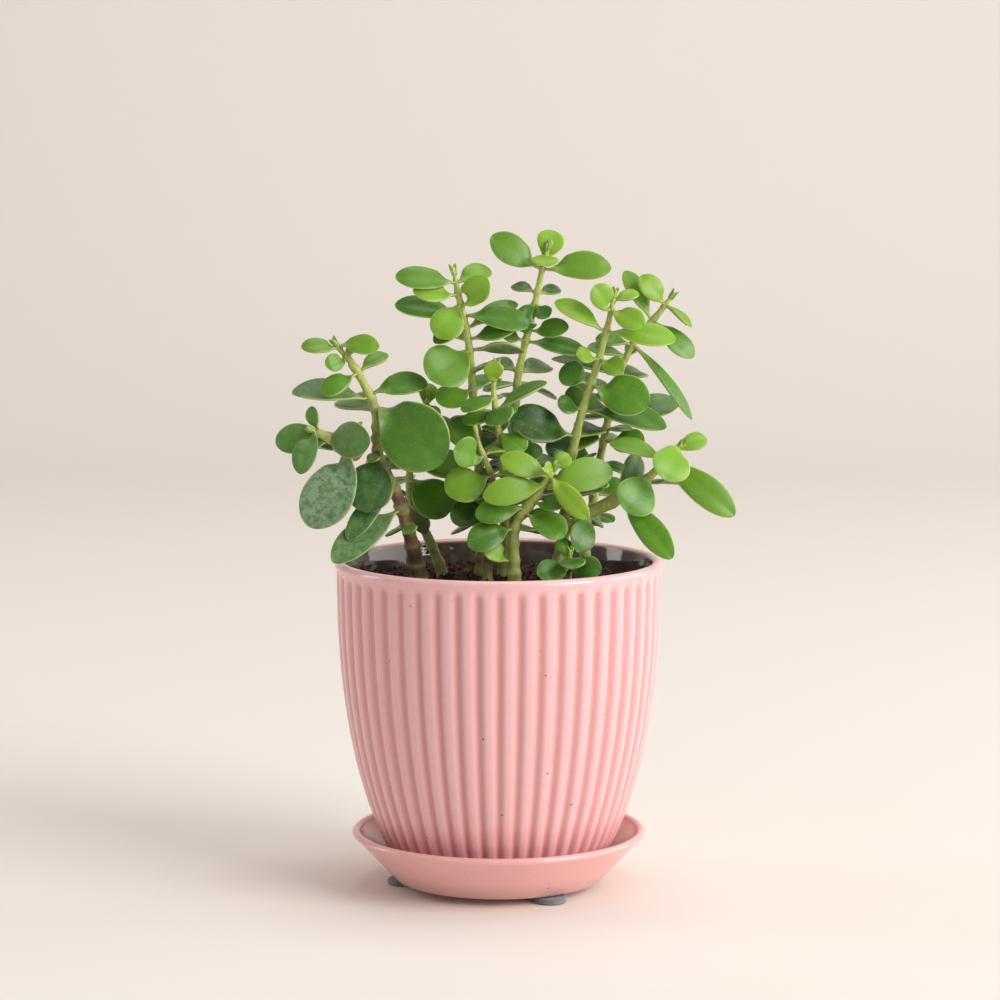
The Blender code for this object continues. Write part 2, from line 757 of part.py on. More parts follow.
def leaf_object(name, place, collection):
    points, faces = place.shape()
    mesh = bpy.data.meshes.new(name)
    mesh.from_pydata([point * MM for point in points], [], faces)
    obj = mesh_object(name, mesh, collection)
    hide_helper(obj)
    return obj


# ---------------------------------------------------------------- shoots


class Group:
    """The leaves that share one solid: their places on the stem, and the stretch of stem that they hold."""

    def __init__(self, shoot, number, stalk):
        pairs = shoot.groups[number]
        heights = [SOIL_TOP + pair.height * PLANT_SCALE for pair in pairs]
        self.name = f"leaves_{shoot.name}{number + 1}"
        self.is_tip = number == 0 and shoot.has_tip
        self.age = number / 4 + shoot.age
        self.low = stalk.height_past(min(heights), -COLLAR_REACH)
        self.high = stalk.height_past(max(heights), COLLAR_REACH)
        self.places = [
            LeafPlace(stalk, height, leaf, self.is_tip)
            for height, pair in zip(heights, pairs)
            for leaf in pair.leaves
        ]


def make_collar(group, stalk, parts):
    """The ring round the stem, without its bore, or the growing tip with its bud."""
    if not group.is_tip:
        points, radii = stalk.sections(group.low, group.high, GAP + COLLAR_WALL)
        return solid_tube(group.name, points, radii, parts)
    top = stalk.points[-1]
    points, radii = stalk.sections(group.low + GAP, top.z, TIP_SWELLING)
    direction = stalk.at(top.z)[1]
    points += [top + direction * BUD_LENGTH * share for share in (0.5, 1.0)]
    radii += [radii[-1] * share for share in (0.8, 0.25)]
    return solid_tube(group.name, points, radii, parts)


def make_stem(shoot, groups, stalk, parts):
    """The bare stem, up to its growing tip."""
    top = stalk.points[-1].z
    if groups[0].is_tip:
        top = groups[0].low
    points, radii = stalk.sections(stalk.points[0].z, top)
    stem = tube(f"stem_{shoot.name}", points, radii, parts)
    finish_piece(stem, STEM)
    return stem


def make_socket(shoot, stalk, cutters):
    """The hole that a rooted stem leaves in the soil."""
    points, radii = stalk.sections(stalk.points[0].z, SOIL_TOP + SOIL_MOUND, GAP)
    points[0] -= (points[1] - points[0]).normalized() * GAP
    socket = solid_tube(f"socket_{shoot.name}", points, radii, cutters)
    hide_helper(socket)
    return socket


def grow_group(group, collar, stalk, cutters):
    """Joins the leaves to their collar, then clears the bore for the stem. The exact solver loses a leaf of
    some groups, and the manifold solver keeps them all."""
    for number, place in enumerate(group.places, start=1):
        leaf = leaf_object(f"{group.name}_leaf_{number}", place, cutters)
        add_boolean(collar, leaf, "UNION", "MANIFOLD")
    if not group.is_tip:
        past = 2 * COLLAR_REACH
        low = stalk.height_past(group.low, -past)
        high = stalk.height_past(group.high, past)
        points, radii = stalk.sections(low, high, GAP)
        bore = solid_tube(f"{group.name}_bore", points, radii, cutters)
        hide_helper(bore)
        add_boolean(collar, bore, "DIFFERENCE", "MANIFOLD")
    finish_piece(collar, (leaf_colour(group.age), LEAF_ROUGHNESS, 0.0))


def leaf_colour(age):
    """Yellow-green at the growing tips, dark green low on the plant."""
    share = min(age, 1.0)
    return tuple(young + (old - young) * share for young, old in zip(YOUNG_LEAF, OLD_LEAF))


def make_plant(parts, cutters, holders):
    """Stems and collars first, then the leaves, the largest first, each turned clear of what is there."""
    stalks = [Stalk(shoot) for shoot in SHOOTS]
    obstacles = list(holders)
    grown = []
    for shoot, stalk in zip(SHOOTS, stalks):
        groups = [Group(shoot, number, stalk) for number in range(len(shoot.groups))]
        obstacles.append(Obstacle.from_object(make_stem(shoot, groups, stalk, parts)))
        for group in groups:
            collar = make_collar(group, stalk, parts)
            grown.append((group, collar, stalk, Obstacle.from_object(collar)))
    turns = nudges()
    places = [(place, group) for group, *_ in grown for place in group.places]
    places.sort(key=lambda entry: -entry[0].size())
    settled = []
    for place, group in places:
        others = [entry[3] for entry in grown if entry[0] is not group]
        around = obstacles + others + settled
        settle(place, around, turns)
        settled.append(around[-1])
    for group, collar, stalk, _ in grown:
        grow_group(group, collar, stalk, cutters)


def main():
    clear_scene()
    parts = new_collection(NAME)
    cutters = new_collection("cutters")
    pot = make_pot(parts)
    make_saucer(parts)
    make_pads(parts)
    sockets = [make_socket(shoot, Stalk(shoot), cutters) for shoot in SHOOTS if shoot.rooted]
    soil = make_soil(parts, sockets)
    make_plant(parts, cutters, [Obstacle.from_object(pot), Obstacle.from_object(soil)])


main()
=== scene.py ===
"""The looks of the potted jade plant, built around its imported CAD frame.

Each leaf is read back from its CAD solid: its tip, its width and the curve of its middle. A fleshy leaf is
then modelled on that curve. Stems follow the middle lines of the CAD stems. The pot, the saucer and the
soil are turned again with fine ribs, glaze, crumbs and roots. Lengths are millimetres until MM turns them
into metres.
"""

import json
import math
import random
from typing import NamedTuple

import bmesh
import bpy
from mathutils import Matrix, Vector, noise
from mathutils.bvhtree import BVHTree


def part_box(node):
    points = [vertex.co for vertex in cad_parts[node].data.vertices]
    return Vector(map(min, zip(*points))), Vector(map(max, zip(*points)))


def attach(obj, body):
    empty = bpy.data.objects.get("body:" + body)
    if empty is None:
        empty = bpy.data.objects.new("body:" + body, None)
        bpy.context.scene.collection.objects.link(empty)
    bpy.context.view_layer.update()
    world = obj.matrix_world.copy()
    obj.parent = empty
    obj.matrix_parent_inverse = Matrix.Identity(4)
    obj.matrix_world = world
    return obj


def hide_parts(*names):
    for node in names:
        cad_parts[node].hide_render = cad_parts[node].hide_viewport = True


MM = 0.001
UP = Vector((0.0, 0.0, 1.0))
SHOOTS = "abcdefghijkl"

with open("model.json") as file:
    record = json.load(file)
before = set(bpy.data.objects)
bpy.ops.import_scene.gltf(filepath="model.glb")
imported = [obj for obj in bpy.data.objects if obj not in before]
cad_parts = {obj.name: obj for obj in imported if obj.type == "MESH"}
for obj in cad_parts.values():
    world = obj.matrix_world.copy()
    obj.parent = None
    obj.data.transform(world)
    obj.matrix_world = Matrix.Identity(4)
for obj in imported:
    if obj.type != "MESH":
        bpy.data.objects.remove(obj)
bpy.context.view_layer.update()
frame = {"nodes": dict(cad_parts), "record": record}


def seeded(*words):
    return random.Random(" ".join(str(word) for word in words))


def smooth_step(low, high, value):
    share = min(max((value - low) / (high - low), 0.0), 1.0)
    return share * share * (3.0 - 2.0 * share)


def wobble(point, size, seed=0.0):
    """Smooth noise from -1 to 1 whose lumps are about one size across."""
    return noise.noise(Vector(point) / size + Vector((seed, -seed, 2.0 * seed)))


# ---------------------------------------------------------------- surfaces


def at_ring(values, number):
    """The painted values of one ring: a value is one number, or a list with a number for each ring."""
    return {key: value[number] if isinstance(value, list) else value for key, value in values.items()}


class Surface:
    """Points, faces and painted values, gathered before they become one object."""

    def __init__(self, *channels):
        self.points = []
        self.faces = []
        self.paint = {channel: [] for channel in channels}

    def add_point(self, point, **values):
        self.points.append(Vector(point) * MM)
        for channel, painted in self.paint.items():
            painted.append(values.get(channel, 0.0))
        return len(self.points) - 1

    def bridge(self, first, second):
        """Joins two closed rings of the same count."""
        count = len(first)
        for i in range(count):
            j = (i + 1) % count
            self.faces.append((first[i], first[j], second[j], second[i]))

    def fan(self, ring, pole, outward=True):
        for i in range(len(ring)):
            j = (i + 1) % len(ring)
            self.faces.append((ring[i], ring[j], pole) if outward else (ring[j], ring[i], pole))

    def tube(self, line, radii, sides, **values):
        """A round tube along a line, closed at both ends."""
        rings = []
        across = None
        for i, (centre, radius) in enumerate(zip(line, radii)):
            ahead = (line[min(i + 1, len(line) - 1)] - line[max(i - 1, 0)]).normalized()
            start = across or ahead.orthogonal()
            across = (start - start.project(ahead)).normalized()
            over = ahead.cross(across)
            ring = []
            for side in range(sides):
                turn = 2.0 * math.pi * side / sides
                spot = centre + (across * math.cos(turn) + over * math.sin(turn)) * radius
                ring.append(self.add_point(spot, **at_ring(values, i)))
            rings.append(ring)
        for first, second in zip(rings, rings[1:]):
            self.bridge(first, second)
        self.faces.append(tuple(reversed(rings[0])))
        self.faces.append(tuple(rings[-1]))

    def take(self, other):
        """Adds another surface to this one."""
        start = len(self.points)
        self.points += other.points
        self.faces += [tuple(start + index for index in face) for face in other.faces]
        for channel, painted in self.paint.items():
            painted += other.paint[channel]

    def tree(self):
        return BVHTree.FromPolygons(self.points, self.faces)

    def build(self, name, material):
        mesh = bpy.data.meshes.new(name)
        mesh.from_pydata(self.points, [], self.faces)
        mesh.polygons.foreach_set("use_smooth", [True] * len(mesh.polygons))
        for channel, values in self.paint.items():
            layer = mesh.attributes.new(channel, "FLOAT", "POINT")
            layer.data.foreach_set("value", values)
        mesh.materials.append(material)
        piece = bpy.data.objects.new(name, mesh)
        bpy.context.scene.collection.objects.link(piece)
        return piece


def stand_for(piece, slot, *nodes):
    """The piece is shown in place of CAD nodes. The slot, one of the record's slots, is not used."""
    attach(piece, "root")
    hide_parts(*nodes)


# ---------------------------------------------------------------- materials


def colour(red, green, blue):
    """A screen colour, from 0 to 255, as the shaders take it."""
    channels = []
    for value in (red, green, blue):
        share = value / 255.0
        channels.append(share / 12.92 if share <= 0.04045 else ((share + 0.055) / 1.055) ** 2.4)
    return (*channels, 1.0)


class Paint:
    """A material and the short calls that wire its nodes."""

    def __init__(self, name):
        self.material = bpy.data.materials.new(name)
        self.material.use_nodes = True
        self.tree = self.material.node_tree
        self.shader = self.tree.nodes["Principled BSDF"]

    def node(self, kind, inputs=None, **settings):
        node = self.tree.nodes.new(kind)
        for key, value in settings.items():
            setattr(node, key, value)
        for key, value in (inputs or {}).items():
            self.plug(value, node.inputs[key])
        return node

    def plug(self, value, socket):
        """Links an output to a socket, or sets the socket to a plain value."""
        if isinstance(value, bpy.types.NodeSocket):
            self.tree.links.new(value, socket)
        else:
            socket.default_value = value

    def set(self, **values):
        for key, value in values.items():
            self.plug(value, self.shader.inputs[key.replace("_", " ")])

    def painted(self, channel):
        return self.node("ShaderNodeAttribute", attribute_name=channel).outputs["Fac"]

    def place(self):
        return self.node("ShaderNodeTexCoord").outputs["Object"]

    def noise(self, scale, detail=3.0, roughness=0.55, vector=None):
        inputs = {"Scale": scale, "Detail": detail, "Roughness": roughness, "Vector": vector or self.place()}
        return self.node("ShaderNodeTexNoise", inputs).outputs["Fac"]

    def dots(self, scale, vector=None):
        """How far each point is from the middle of its cell."""
        inputs = {"Scale": scale, "Vector": vector or self.place()}
        return self.node("ShaderNodeTexVoronoi", inputs)

    def span(self, value, low, high, start=0.0, end=1.0):
        """The value's place between low and high, as a number from start to end."""
        inputs = {"Value": value, "From Min": low, "From Max": high, "To Min": start, "To Max": end}
        return self.node("ShaderNodeMapRange", inputs, interpolation_type="SMOOTHSTEP").outputs["Result"]

    def math(self, operation, first, second=0.0):
        return self.node("ShaderNodeMath", {0: first, 1: second}, operation=operation).outputs[0]

    def mix(self, share, first, second, blend="MIX"):
        node = self.node("ShaderNodeMix", data_type="RGBA", blend_type=blend)
        self.plug(share, node.inputs[0])
        self.plug(first, node.inputs[6])
        self.plug(second, node.inputs[7])
        return node.outputs[2]

    def ramp(self, value, *stops):
        node = self.node("ShaderNodeValToRGB", {"Fac": value})
        elements = node.color_ramp.elements
        while len(elements) < len(stops):
            elements.new(1.0)
        for element, (position, stop) in zip(elements, stops):
            element.position = position
            element.color = stop
        return node.outputs["Color"]

    def bump(self, height, strength, distance):
        inputs = {"Height": height, "Strength": strength, "Distance": distance}
        self.plug(self.node("ShaderNodeBump", inputs).outputs["Normal"], self.shader.inputs["Normal"])


# What leaves carry at each point. skin_x and skin_y are millimetres across and along the leaf, each leaf and
# each side of it in its own stretch, so that no two show the same pattern.
LEAF_CHANNELS = ("age", "bloom", "seed", "upper", "along", "across", "skin_x", "skin_y")


def leaf_material():
    """Fleshy leaves: yellow-green when young, dark and glossy when old, with a pale rim and fine dots."""
    paint = Paint("jade_leaf")
    age = paint.painted("age")
    seed = paint.painted("seed")
    across = paint.painted("across")
    along = paint.painted("along")
    skin_place = {"X": paint.painted("skin_x"), "Y": paint.painted("skin_y"), "Z": seed}
    spot = paint.node("ShaderNodeCombineXYZ", skin_place).outputs[0]
    flesh = paint.ramp(
        age,
        (0.0, colour(178, 206, 74)),
        (0.3, colour(142, 184, 40)),
        (0.6, colour(88, 142, 26)),
        (0.85, colour(46, 94, 22)),
        (1.0, colour(30, 68, 22)),
    )
    cloud = paint.noise(0.22, 3.0, 0.55, spot)
    flesh = paint.mix(paint.span(cloud, 0.35, 0.75, 0.0, 0.2), flesh, colour(140, 180, 60))
    grain = paint.noise(2.6, 2.0, 0.5, spot)
    flesh = paint.mix(paint.span(grain, 0.35, 0.8, 0.0, 0.2), flesh, colour(70, 110, 38))
    vein = paint.math("MULTIPLY", paint.span(across, 0.1, 0.0), paint.span(along, 0.92, 0.1))
    flesh = paint.mix(paint.math("MULTIPLY", vein, 0.3), flesh, colour(176, 204, 110))
    neck = paint.span(along, 0.22, 0.0, 0.0, 0.55)
    flesh = paint.mix(neck, flesh, colour(178, 194, 98))
    freckles = paint.dots(0.75, spot).outputs["Distance"]
    freckle = paint.math("MULTIPLY", paint.span(freckles, 0.2, 0.1), paint.span(age, 0.3, 0.9, 0.05, 0.4))
    flesh = paint.mix(freckle, flesh, colour(168, 188, 124))
    patches = paint.span(paint.noise(0.3, 2.0, 0.5, spot), 0.35, 0.65)
    below = paint.mix(patches, colour(150, 172, 112), colour(132, 138, 118))
    below = paint.mix(paint.span(age, 0.0, 0.8, 0.7, 0.3), below, flesh)
    flesh = paint.mix(paint.span(paint.painted("upper"), 0.4, 0.6), below, flesh)
    dust = paint.span(paint.noise(0.55, 5.0, 0.65, spot), 0.38, 0.62, 0.25, 1.0)
    dust = paint.math("MULTIPLY", dust, paint.painted("bloom"))
    flesh = paint.mix(paint.math("MULTIPLY", dust, 0.72), flesh, colour(136, 156, 132))
    edge = paint.math("MULTIPLY", paint.span(across, 0.9, 0.99), paint.span(age, 0.0, 1.0, 0.75, 0.5))
    flesh = paint.mix(edge, flesh, colour(196, 210, 120))
    brightness = paint.span(seed, 0.0, 10.0, 0.86, 1.12)
    tint = paint.node("ShaderNodeHueSaturation", {"Color": flesh, "Value": brightness})
    paint.set(Base_Color=tint.outputs["Color"], Subsurface_Weight=0.1, Subsurface_Scale=0.0016)
    paint.shader.inputs["Subsurface Radius"].default_value = (0.5, 1.0, 0.25)
    gloss = paint.span(age, 0.0, 1.0, 0.46, 0.3)
    paint.set(Roughness=paint.math("ADD", gloss, paint.math("MULTIPLY", dust, 0.22)))
    skin = paint.math("ADD", paint.noise(1.6, 4.0, 0.6, spot), paint.math("MULTIPLY", freckle, 0.6))
    paint.bump(skin, 0.22, 0.0004)
    return paint.material


def stem_material():
    """Green, succulent stems that turn brown and woody towards the soil."""
    paint = Paint("jade_stem")
    wood = paint.painted("wood")
    streaks = paint.node("ShaderNodeMapping", {"Vector": paint.place(), "Scale": (1.0, 1.0, 0.18)})
    grain = paint.noise(1400.0, 4.0, 0.6, streaks.outputs[0])
    patches = paint.noise(190.0, 4.0, 0.6)
    worn = paint.math("ADD", wood, paint.span(patches, 0.3, 0.7, -0.22, 0.22))
    bark = paint.ramp(
        worn,
        (0.0, colour(184, 204, 96)),
        (0.3, colour(172, 186, 98)),
        (0.5, colour(160, 154, 94)),
        (0.75, colour(122, 92, 62)),
        (1.0, colour(88, 62, 46)),
    )
    bark = paint.mix(paint.span(grain, 0.35, 0.7, 0.0, 0.35), bark, colour(96, 80, 52))
    scar = paint.painted("ring")
    bark = paint.mix(paint.math("MULTIPLY", scar, 0.5), bark, colour(178, 176, 112))
    flecks = paint.dots(900.0).outputs["Distance"]
    bark = paint.mix(paint.span(flecks, 0.22, 0.1, 0.0, 0.5), bark, colour(92, 74, 50))
    paint.set(Base_Color=bark, Roughness=paint.span(wood, 0.2, 0.8, 0.42, 0.78))
    paint.bump(grain, 0.45, 0.0005)
    return paint.material


def glaze_material(name, ridge, groove, tint, foot):
    """A pink gloss glaze with painted shade in the rib grooves, painted shade mixed with thin glaze low on
    the saucer's outside, darker feet and a darker saucer floor, and a grey-brown glaze inside.
    """
    paint = Paint(name)
    hollow = paint.painted("hollow")
    inner = paint.painted("inner")
    # Painted shade: the darker groove colour fills the rib grooves and the low outside of the saucer, where
    # it also stands for thin glaze. On the saucer's floor and on the feet it is the darker glaze.
    body = paint.mix(paint.math("MULTIPLY", hollow, 0.85), ridge, groove)
    flow = paint.node("ShaderNodeMapping", {"Vector": paint.place(), "Scale": (1.0, 1.0, 0.3)})
    cloud = paint.noise(38.0, 4.0, 0.55, flow.outputs[0])
    body = paint.mix(paint.span(cloud, 0.3, 0.75, 0.0, 0.3), body, tint)
    mottle = paint.noise(520.0, 3.0, 0.6)
    body = paint.mix(paint.span(mottle, 0.45, 0.75, 0.0, 0.12), body, foot)
    cells = paint.dots(170.0)
    chosen = paint.span(cells.outputs["Color"], 0.68, 0.69)
    speck = paint.math("MULTIPLY", paint.span(cells.outputs["Distance"], 0.085, 0.05), chosen)
    body = paint.mix(paint.math("MULTIPLY", speck, 0.85), body, colour(122, 66, 60))
    clouds = paint.span(paint.noise(60.0, 4.0, 0.6), 0.35, 0.7)
    inside = paint.mix(clouds, colour(66, 54, 49), colour(106, 88, 80))
    satin = paint.span(paint.noise(240.0, 2.0), 0.3, 0.8, 0.14, 0.21)
    roughness = paint.math("SUBTRACT", satin, paint.math("MULTIPLY", inner, 0.1))
    paint.set(Base_Color=paint.mix(inner, body, inside), Roughness=roughness, Specular_IOR_Level=0.62)
    ripple = paint.math("ADD", paint.noise(70.0, 2.0), paint.math("MULTIPLY", speck, -1.2))
    paint.bump(ripple, 0.25, 0.0006)
    return paint.material


def soil_material():
    """Dark coco-peat, each crumb in its own brown."""
    paint = Paint("coco_peat")
    tone = paint.painted("tone")
    earth = paint.ramp(
        tone,
        (0.0, colour(38, 24, 20)),
        (0.45, colour(70, 44, 34)),
        (0.8, colour(112, 70, 48)),
        (1.0, colour(150, 100, 66)),
    )
    dirt = paint.noise(900.0, 5.0, 0.7)
    earth = paint.mix(paint.span(dirt, 0.35, 0.7, 0.0, 0.55), earth, colour(34, 20, 17))
    paint.set(Base_Color=earth, Roughness=0.95)
    paint.bump(dirt, 0.9, 0.0012)
    return paint.material


def fibre_material():
    """Coir fibres from red-brown to the pale tan of fine roots."""
    paint = Paint("coir_fibre")
    strand = paint.ramp(
        paint.painted("tone"),
        (0.0, colour(74, 42, 30)),
        (0.5, colour(136, 84, 54)),
        (1.0, colour(206, 176, 136)),
    )
    streak = paint.noise(1500.0, 3.0, 0.6)
    strand = paint.mix(paint.span(streak, 0.4, 0.7, 0.0, 0.45), strand, colour(96, 62, 42))
    paint.set(Base_Color=strand, Roughness=0.8)
    paint.bump(streak, 0.5, 0.0003)
    return paint.material


def felt_material():
    paint = Paint("grey_felt")
    fluff = paint.noise(2200.0, 6.0, 0.75)
    tone = paint.mix(paint.span(fluff, 0.3, 0.7), colour(84, 92, 104), colour(138, 146, 156))
    paint.set(Base_Color=tone, Roughness=1.0, Sheen_Weight=0.5, Sheen_Roughness=0.6)
    paint.bump(fluff, 0.9, 0.0008)
    return paint.material


# ---------------------------------------------------------------- reading the CAD solids


class StemLine:
    """The middle line and radius of a CAD stem, read by slicing its solid."""

    STEP = 1.0  # between slices
    CORNER_SHARE = 0.93  # a slice through a six-sided tube is this much of its corner radius, on average

    def __init__(self, letter):
        node = f"stem_{letter}"
        low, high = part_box(node)
        mesh = frame["nodes"][node].data
        ends = [tuple(Vector(mesh.vertices[i].co) / MM for i in edge.vertices) for edge in mesh.edges]
        bottom = low.z / MM + 2.0
        top = high.z / MM - 1.0
        count = max(2, round((top - bottom) / self.STEP))
        self.points = []
        self.radii = []
        self.tree = None  # of the stem's finished surface
        for i in range(count + 1):
            height = bottom + (top - bottom) * i / count
            crossing = [(a, b) for a, b in ends if (a.z - height) * (b.z - height) < 0.0]
            cuts = [a.lerp(b, (height - a.z) / (b.z - a.z)) for a, b in crossing]
            xs = [cut.x for cut in cuts]
            ys = [cut.y for cut in cuts]
            middle = Vector(((min(xs) + max(xs)) / 2, (min(ys) + max(ys)) / 2, height))
            self.points.append(middle)
            self.radii.append(sum((cut - middle).length for cut in cuts) / len(cuts) / self.CORNER_SHARE)

    def nearest(self, point):
        """The closest point of the line, its direction there, and the radius."""
        index = min(range(len(self.points)), key=lambda i: (self.points[i] - point).length)
        low, high = max(index - 2, 0), min(index + 2, len(self.points) - 1)
        return self.points[index], (self.points[high] - self.points[low]).normalized(), self.radii[index]


def corners_of(node):
    """The corners of a CAD solid in millimetres, and the corners that each one shares an edge with."""
    solid = bmesh.new()
    solid.from_mesh(frame["nodes"][node].data)
    bmesh.ops.remove_doubles(solid, verts=solid.verts, dist=0.001 * MM)
    solid.verts.index_update()
    points = [vertex.co / MM for vertex in solid.verts]
    links = [{edge.other_vert(vertex).index for edge in vertex.link_edges} for vertex in solid.verts]
    solid.free()
    return points, links


class LeafSpot:
    """A leaf's place: the curve of its middle, its width and thickness, and its upper side. The CAD leaf has
    four-sided sections at these shares of its length."""

    OUTER, MIDDLE = 0.85, 0.6
    ARCH = 0.24  # how high a leaf without a CAD solid rises, as a share of its length

    def __init__(self, tip, outer, middle):
        outer_centre, _, _ = outer
        middle_centre, wide, thin = middle
        a, b = self.OUTER, self.MIDDLE
        # A parabola through the two sections and the tip
        at_outer = outer_centre / ((a - 1) * (a - b))
        at_middle = middle_centre / ((b - 1) * (b - a))
        self.bend = tip / ((1 - a) * (1 - b)) + at_outer + at_middle
        self.slope = (tip - middle_centre) / (1 - b) - self.bend * (1 + b)
        self.base = tip - self.slope - self.bend
        self.tip = tip
        self.width = 2.0 * wide.length
        self.depth = thin.length
        self.length = (tip - self.base).length
        self.forward = (tip - self.base).normalized()
        self.normal = thin.normalized() if thin.dot(self.bend) < 0.0 else -thin.normalized()

    def middle(self, share):
        """The middle of the leaf at this share of its length."""
        return self.base + self.slope * share + self.bend * share * share

    @classmethod
    def between(cls, foot, tip, upper, width, depth):
        """A leaf from its foot to its tip, arched towards its upper side."""
        along = tip - foot
        upper = (upper - upper.project(along)).normalized()
        side = along.cross(upper).normalized()
        rise = upper * along.length * cls.ARCH
        sections = []
        for share, part in ((cls.OUTER, 0.7), (cls.MIDDLE, 1.0)):
            centre = foot + along * share + rise * share * (1.0 - share)
            sections.append((centre, side * width / 2 * part, upper * depth))
        return cls(tip, *sections)


LARGEST_GAP = 0.03  # between the middles of a flat section's two diagonals


def section_of(points, ring):
    """The centre and the two half diagonals of a four-sided section, or None if it isn't one."""
    ring = sorted(ring)
    best = None
    for other in (1, 2, 3):
        pair = (ring[0], ring[other])
        rest = [index for index in ring if index not in pair]
        first = (points[pair[0]] + points[pair[1]]) / 2
        second = (points[rest[0]] + points[rest[1]]) / 2
        gap = (first - second).length
        if best is None or gap < best[0]:
            halves = ((points[pair[0]] - points[pair[1]]) / 2, (points[rest[0]] - points[rest[1]]) / 2)
            best = (gap, (first + second) / 2, halves)
    gap, centre, halves = best
    if gap > LARGEST_GAP:
        return None
    wide, thin = sorted(halves, key=lambda half: -half.length)
    return centre, wide, thin


def leaf_spots(node):
    """Every leaf of a CAD group. A tip is a corner whose neighbours make two four-sided sections in a row."""
    points, links = corners_of(node)
    spots = []
    for tip, near in enumerate(links):
        if len(near) != 4:
            continue
        outer = section_of(points, near)
        beyond = set().union(*(links[index] for index in near)) - near - {tip}
        if outer is None or len(beyond) != 4:
            continue
        middle = section_of(points, beyond)
        if middle is not None:
            spots.append(LeafSpot(points[tip], outer, middle))
    return spots


# ---------------------------------------------------------------- leaves


class Look(NamedTuple):
    """How old a leaf is, from 0 to 1, how much grey bloom it carries, and its width as a share of the CAD
    leaf's."""

    age: float
    bloom: float = 0.0
    width: float = 1.0


GROUP_LOOKS = {
    "a1": Look(0.55), "a2": Look(0.45), "a3": Look(0.66), "a4": Look(0.74), "a5": Look(0.6),
    "b1": Look(0.36), "b2": Look(0.56), "b3": Look(0.76), "b4": Look(0.7), "b5": Look(0.75),
    "c1": Look(0.55), "c2": Look(0.58), "c3": Look(0.72, 0.1), "c4": Look(0.85, 0.3), "c5": Look(0.85, 0.6),
    "d1": Look(0.7, 0.4), "d2": Look(0.9, 0.6),
    "e1": Look(0.32), "e2": Look(0.46), "e3": Look(0.36), "e4": Look(0.74), "e5": Look(0.88),
    "f1": Look(0.42), "f2": Look(0.55), "f3": Look(0.62), "f4": Look(0.8), "f5": Look(0.7),
    "g1": Look(0.4), "g2": Look(0.7), "g3": Look(0.75), "g4": Look(0.4),
    "h1": Look(0.4), "h2": Look(0.6, 0.2), "h3": Look(0.72), "h4": Look(0.82),
    "i1": Look(0.5), "i2": Look(0.9),
    "j1": Look(0.32), "j2": Look(0.6, 0.2),
    "k1": Look(0.7),
    "l1": Look(0.36), "l2": Look(0.62),
}

# Leaves that differ from their group: the group, the way the leaf points, and its look
OWN_LOOKS = (
    ("a2", (-1, -1, -1), Look(0.42)),
    ("a4", (-1, -1, -0.7), Look(0.55)),
    ("b2", (-1, 0, 0.6), Look(0.55)),
    ("c3", (-1, -1, -1), Look(0.8, 0.5)),
    ("d2", (-1, -1, -2), Look(0.86, 1.0)),
    ("f3", (1, 0, -1), Look(0.72, 0.0, 0.55)),
    ("g1", (1, -1, -1), Look(0.24, 0.0, 0.65)),
    ("h1", (1, 0, -1), Look(0.52, 0.0, 0.85)),
    ("h3", (1, -1, -1), Look(0.62, 0.0, 0.62)),
)

MARGIN_POINTS = 24
STATIONS = 26
BUD_LENGTH = 4.0
BUD_AGE = 0.2
# Each leaf of a growing tip: its turn round the stem in degrees, then its length and its lean as shares of
# BUD_LENGTH
BUD_LEAVES = ((0.0, 1.0, 0.34), (180.0, 0.94, 0.3), (90.0, 0.68, 0.18), (270.0, 0.64, 0.16))
GROWN_AT = 0.32  # the share of its length by which a leaf has turned from the stem's directions to its own
IN_STEM = -0.12  # the share given to a leaf's first ring, which is hidden in the stem


def blade_half(share, width):
    """Half of the leaf's width: a narrow neck, widest past the middle, and a round tip."""
    blade = width / 2 * max(math.sin(math.pi * share**1.35), 0.0) ** 0.52
    neck = (0.9 + 0.03 * width) * (1.0 - share) ** 2
    return math.hypot(blade, neck) if share < 0.35 else max(blade, neck)


class Habit(NamedTuple):
    """What sets one leaf apart: the seed of its pattern, how far its sides rise, how far it sways to a side,
    where its wavy margin starts, and how deep the channel along its middle is."""

    seed: float
    cup: float
    sway: float
    wave: float
    channel: float


def habit_of(spot, rng):
    return Habit(
        seed=rng.uniform(0.0, 10.0),
        cup=rng.uniform(0.03, 0.13),
        sway=rng.uniform(-0.035, 0.035) * spot.length,
        wave=rng.uniform(0.0, 2.0 * math.pi),
        channel=rng.uniform(0.14, 0.3) * spot.depth,
    )


def leaf_ring(surface, spot, look, habit, share, centre, side, normal):
    """One closed section of a leaf: flat with a shallow channel above, rounded below."""
    grown = smooth_step(0.0, GROWN_AT, share)
    half = blade_half(share, spot.width * look.width)
    depth = spot.depth * (0.62 + 0.5 * math.sin(math.pi * share**0.9)) * smooth_step(1.06, 0.78, share)
    depth = min(depth, half)
    ring = []
    for i in range(MARGIN_POINTS):
        turn = 2.0 * math.pi * (i + 0.5) / MARGIN_POINTS
        across = math.cos(turn)
        swell = abs(math.sin(turn))
        top = turn < math.pi
        if top:
            rise = depth * (0.72 * swell**0.62) - habit.channel * math.exp(-((across / 0.2) ** 2)) * grown
        else:
            rise = -depth * swell**0.8
        rise += habit.cup * half * across * across * grown
        rise += 0.05 * half * math.sin(5.0 * share + habit.wave) * across * grown
        point = centre + side * half * across + normal * rise
        painted = {"age": look.age, "bloom": look.bloom, "seed": habit.seed}
        painted.update(upper=float(top), along=share, across=abs(across))
        painted["skin_x"] = across * half + habit.seed * 7.0
        painted["skin_y"] = share * spot.length + (0.0 if top else 40.0)
        ring.append(surface.add_point(point, **painted))
    return ring


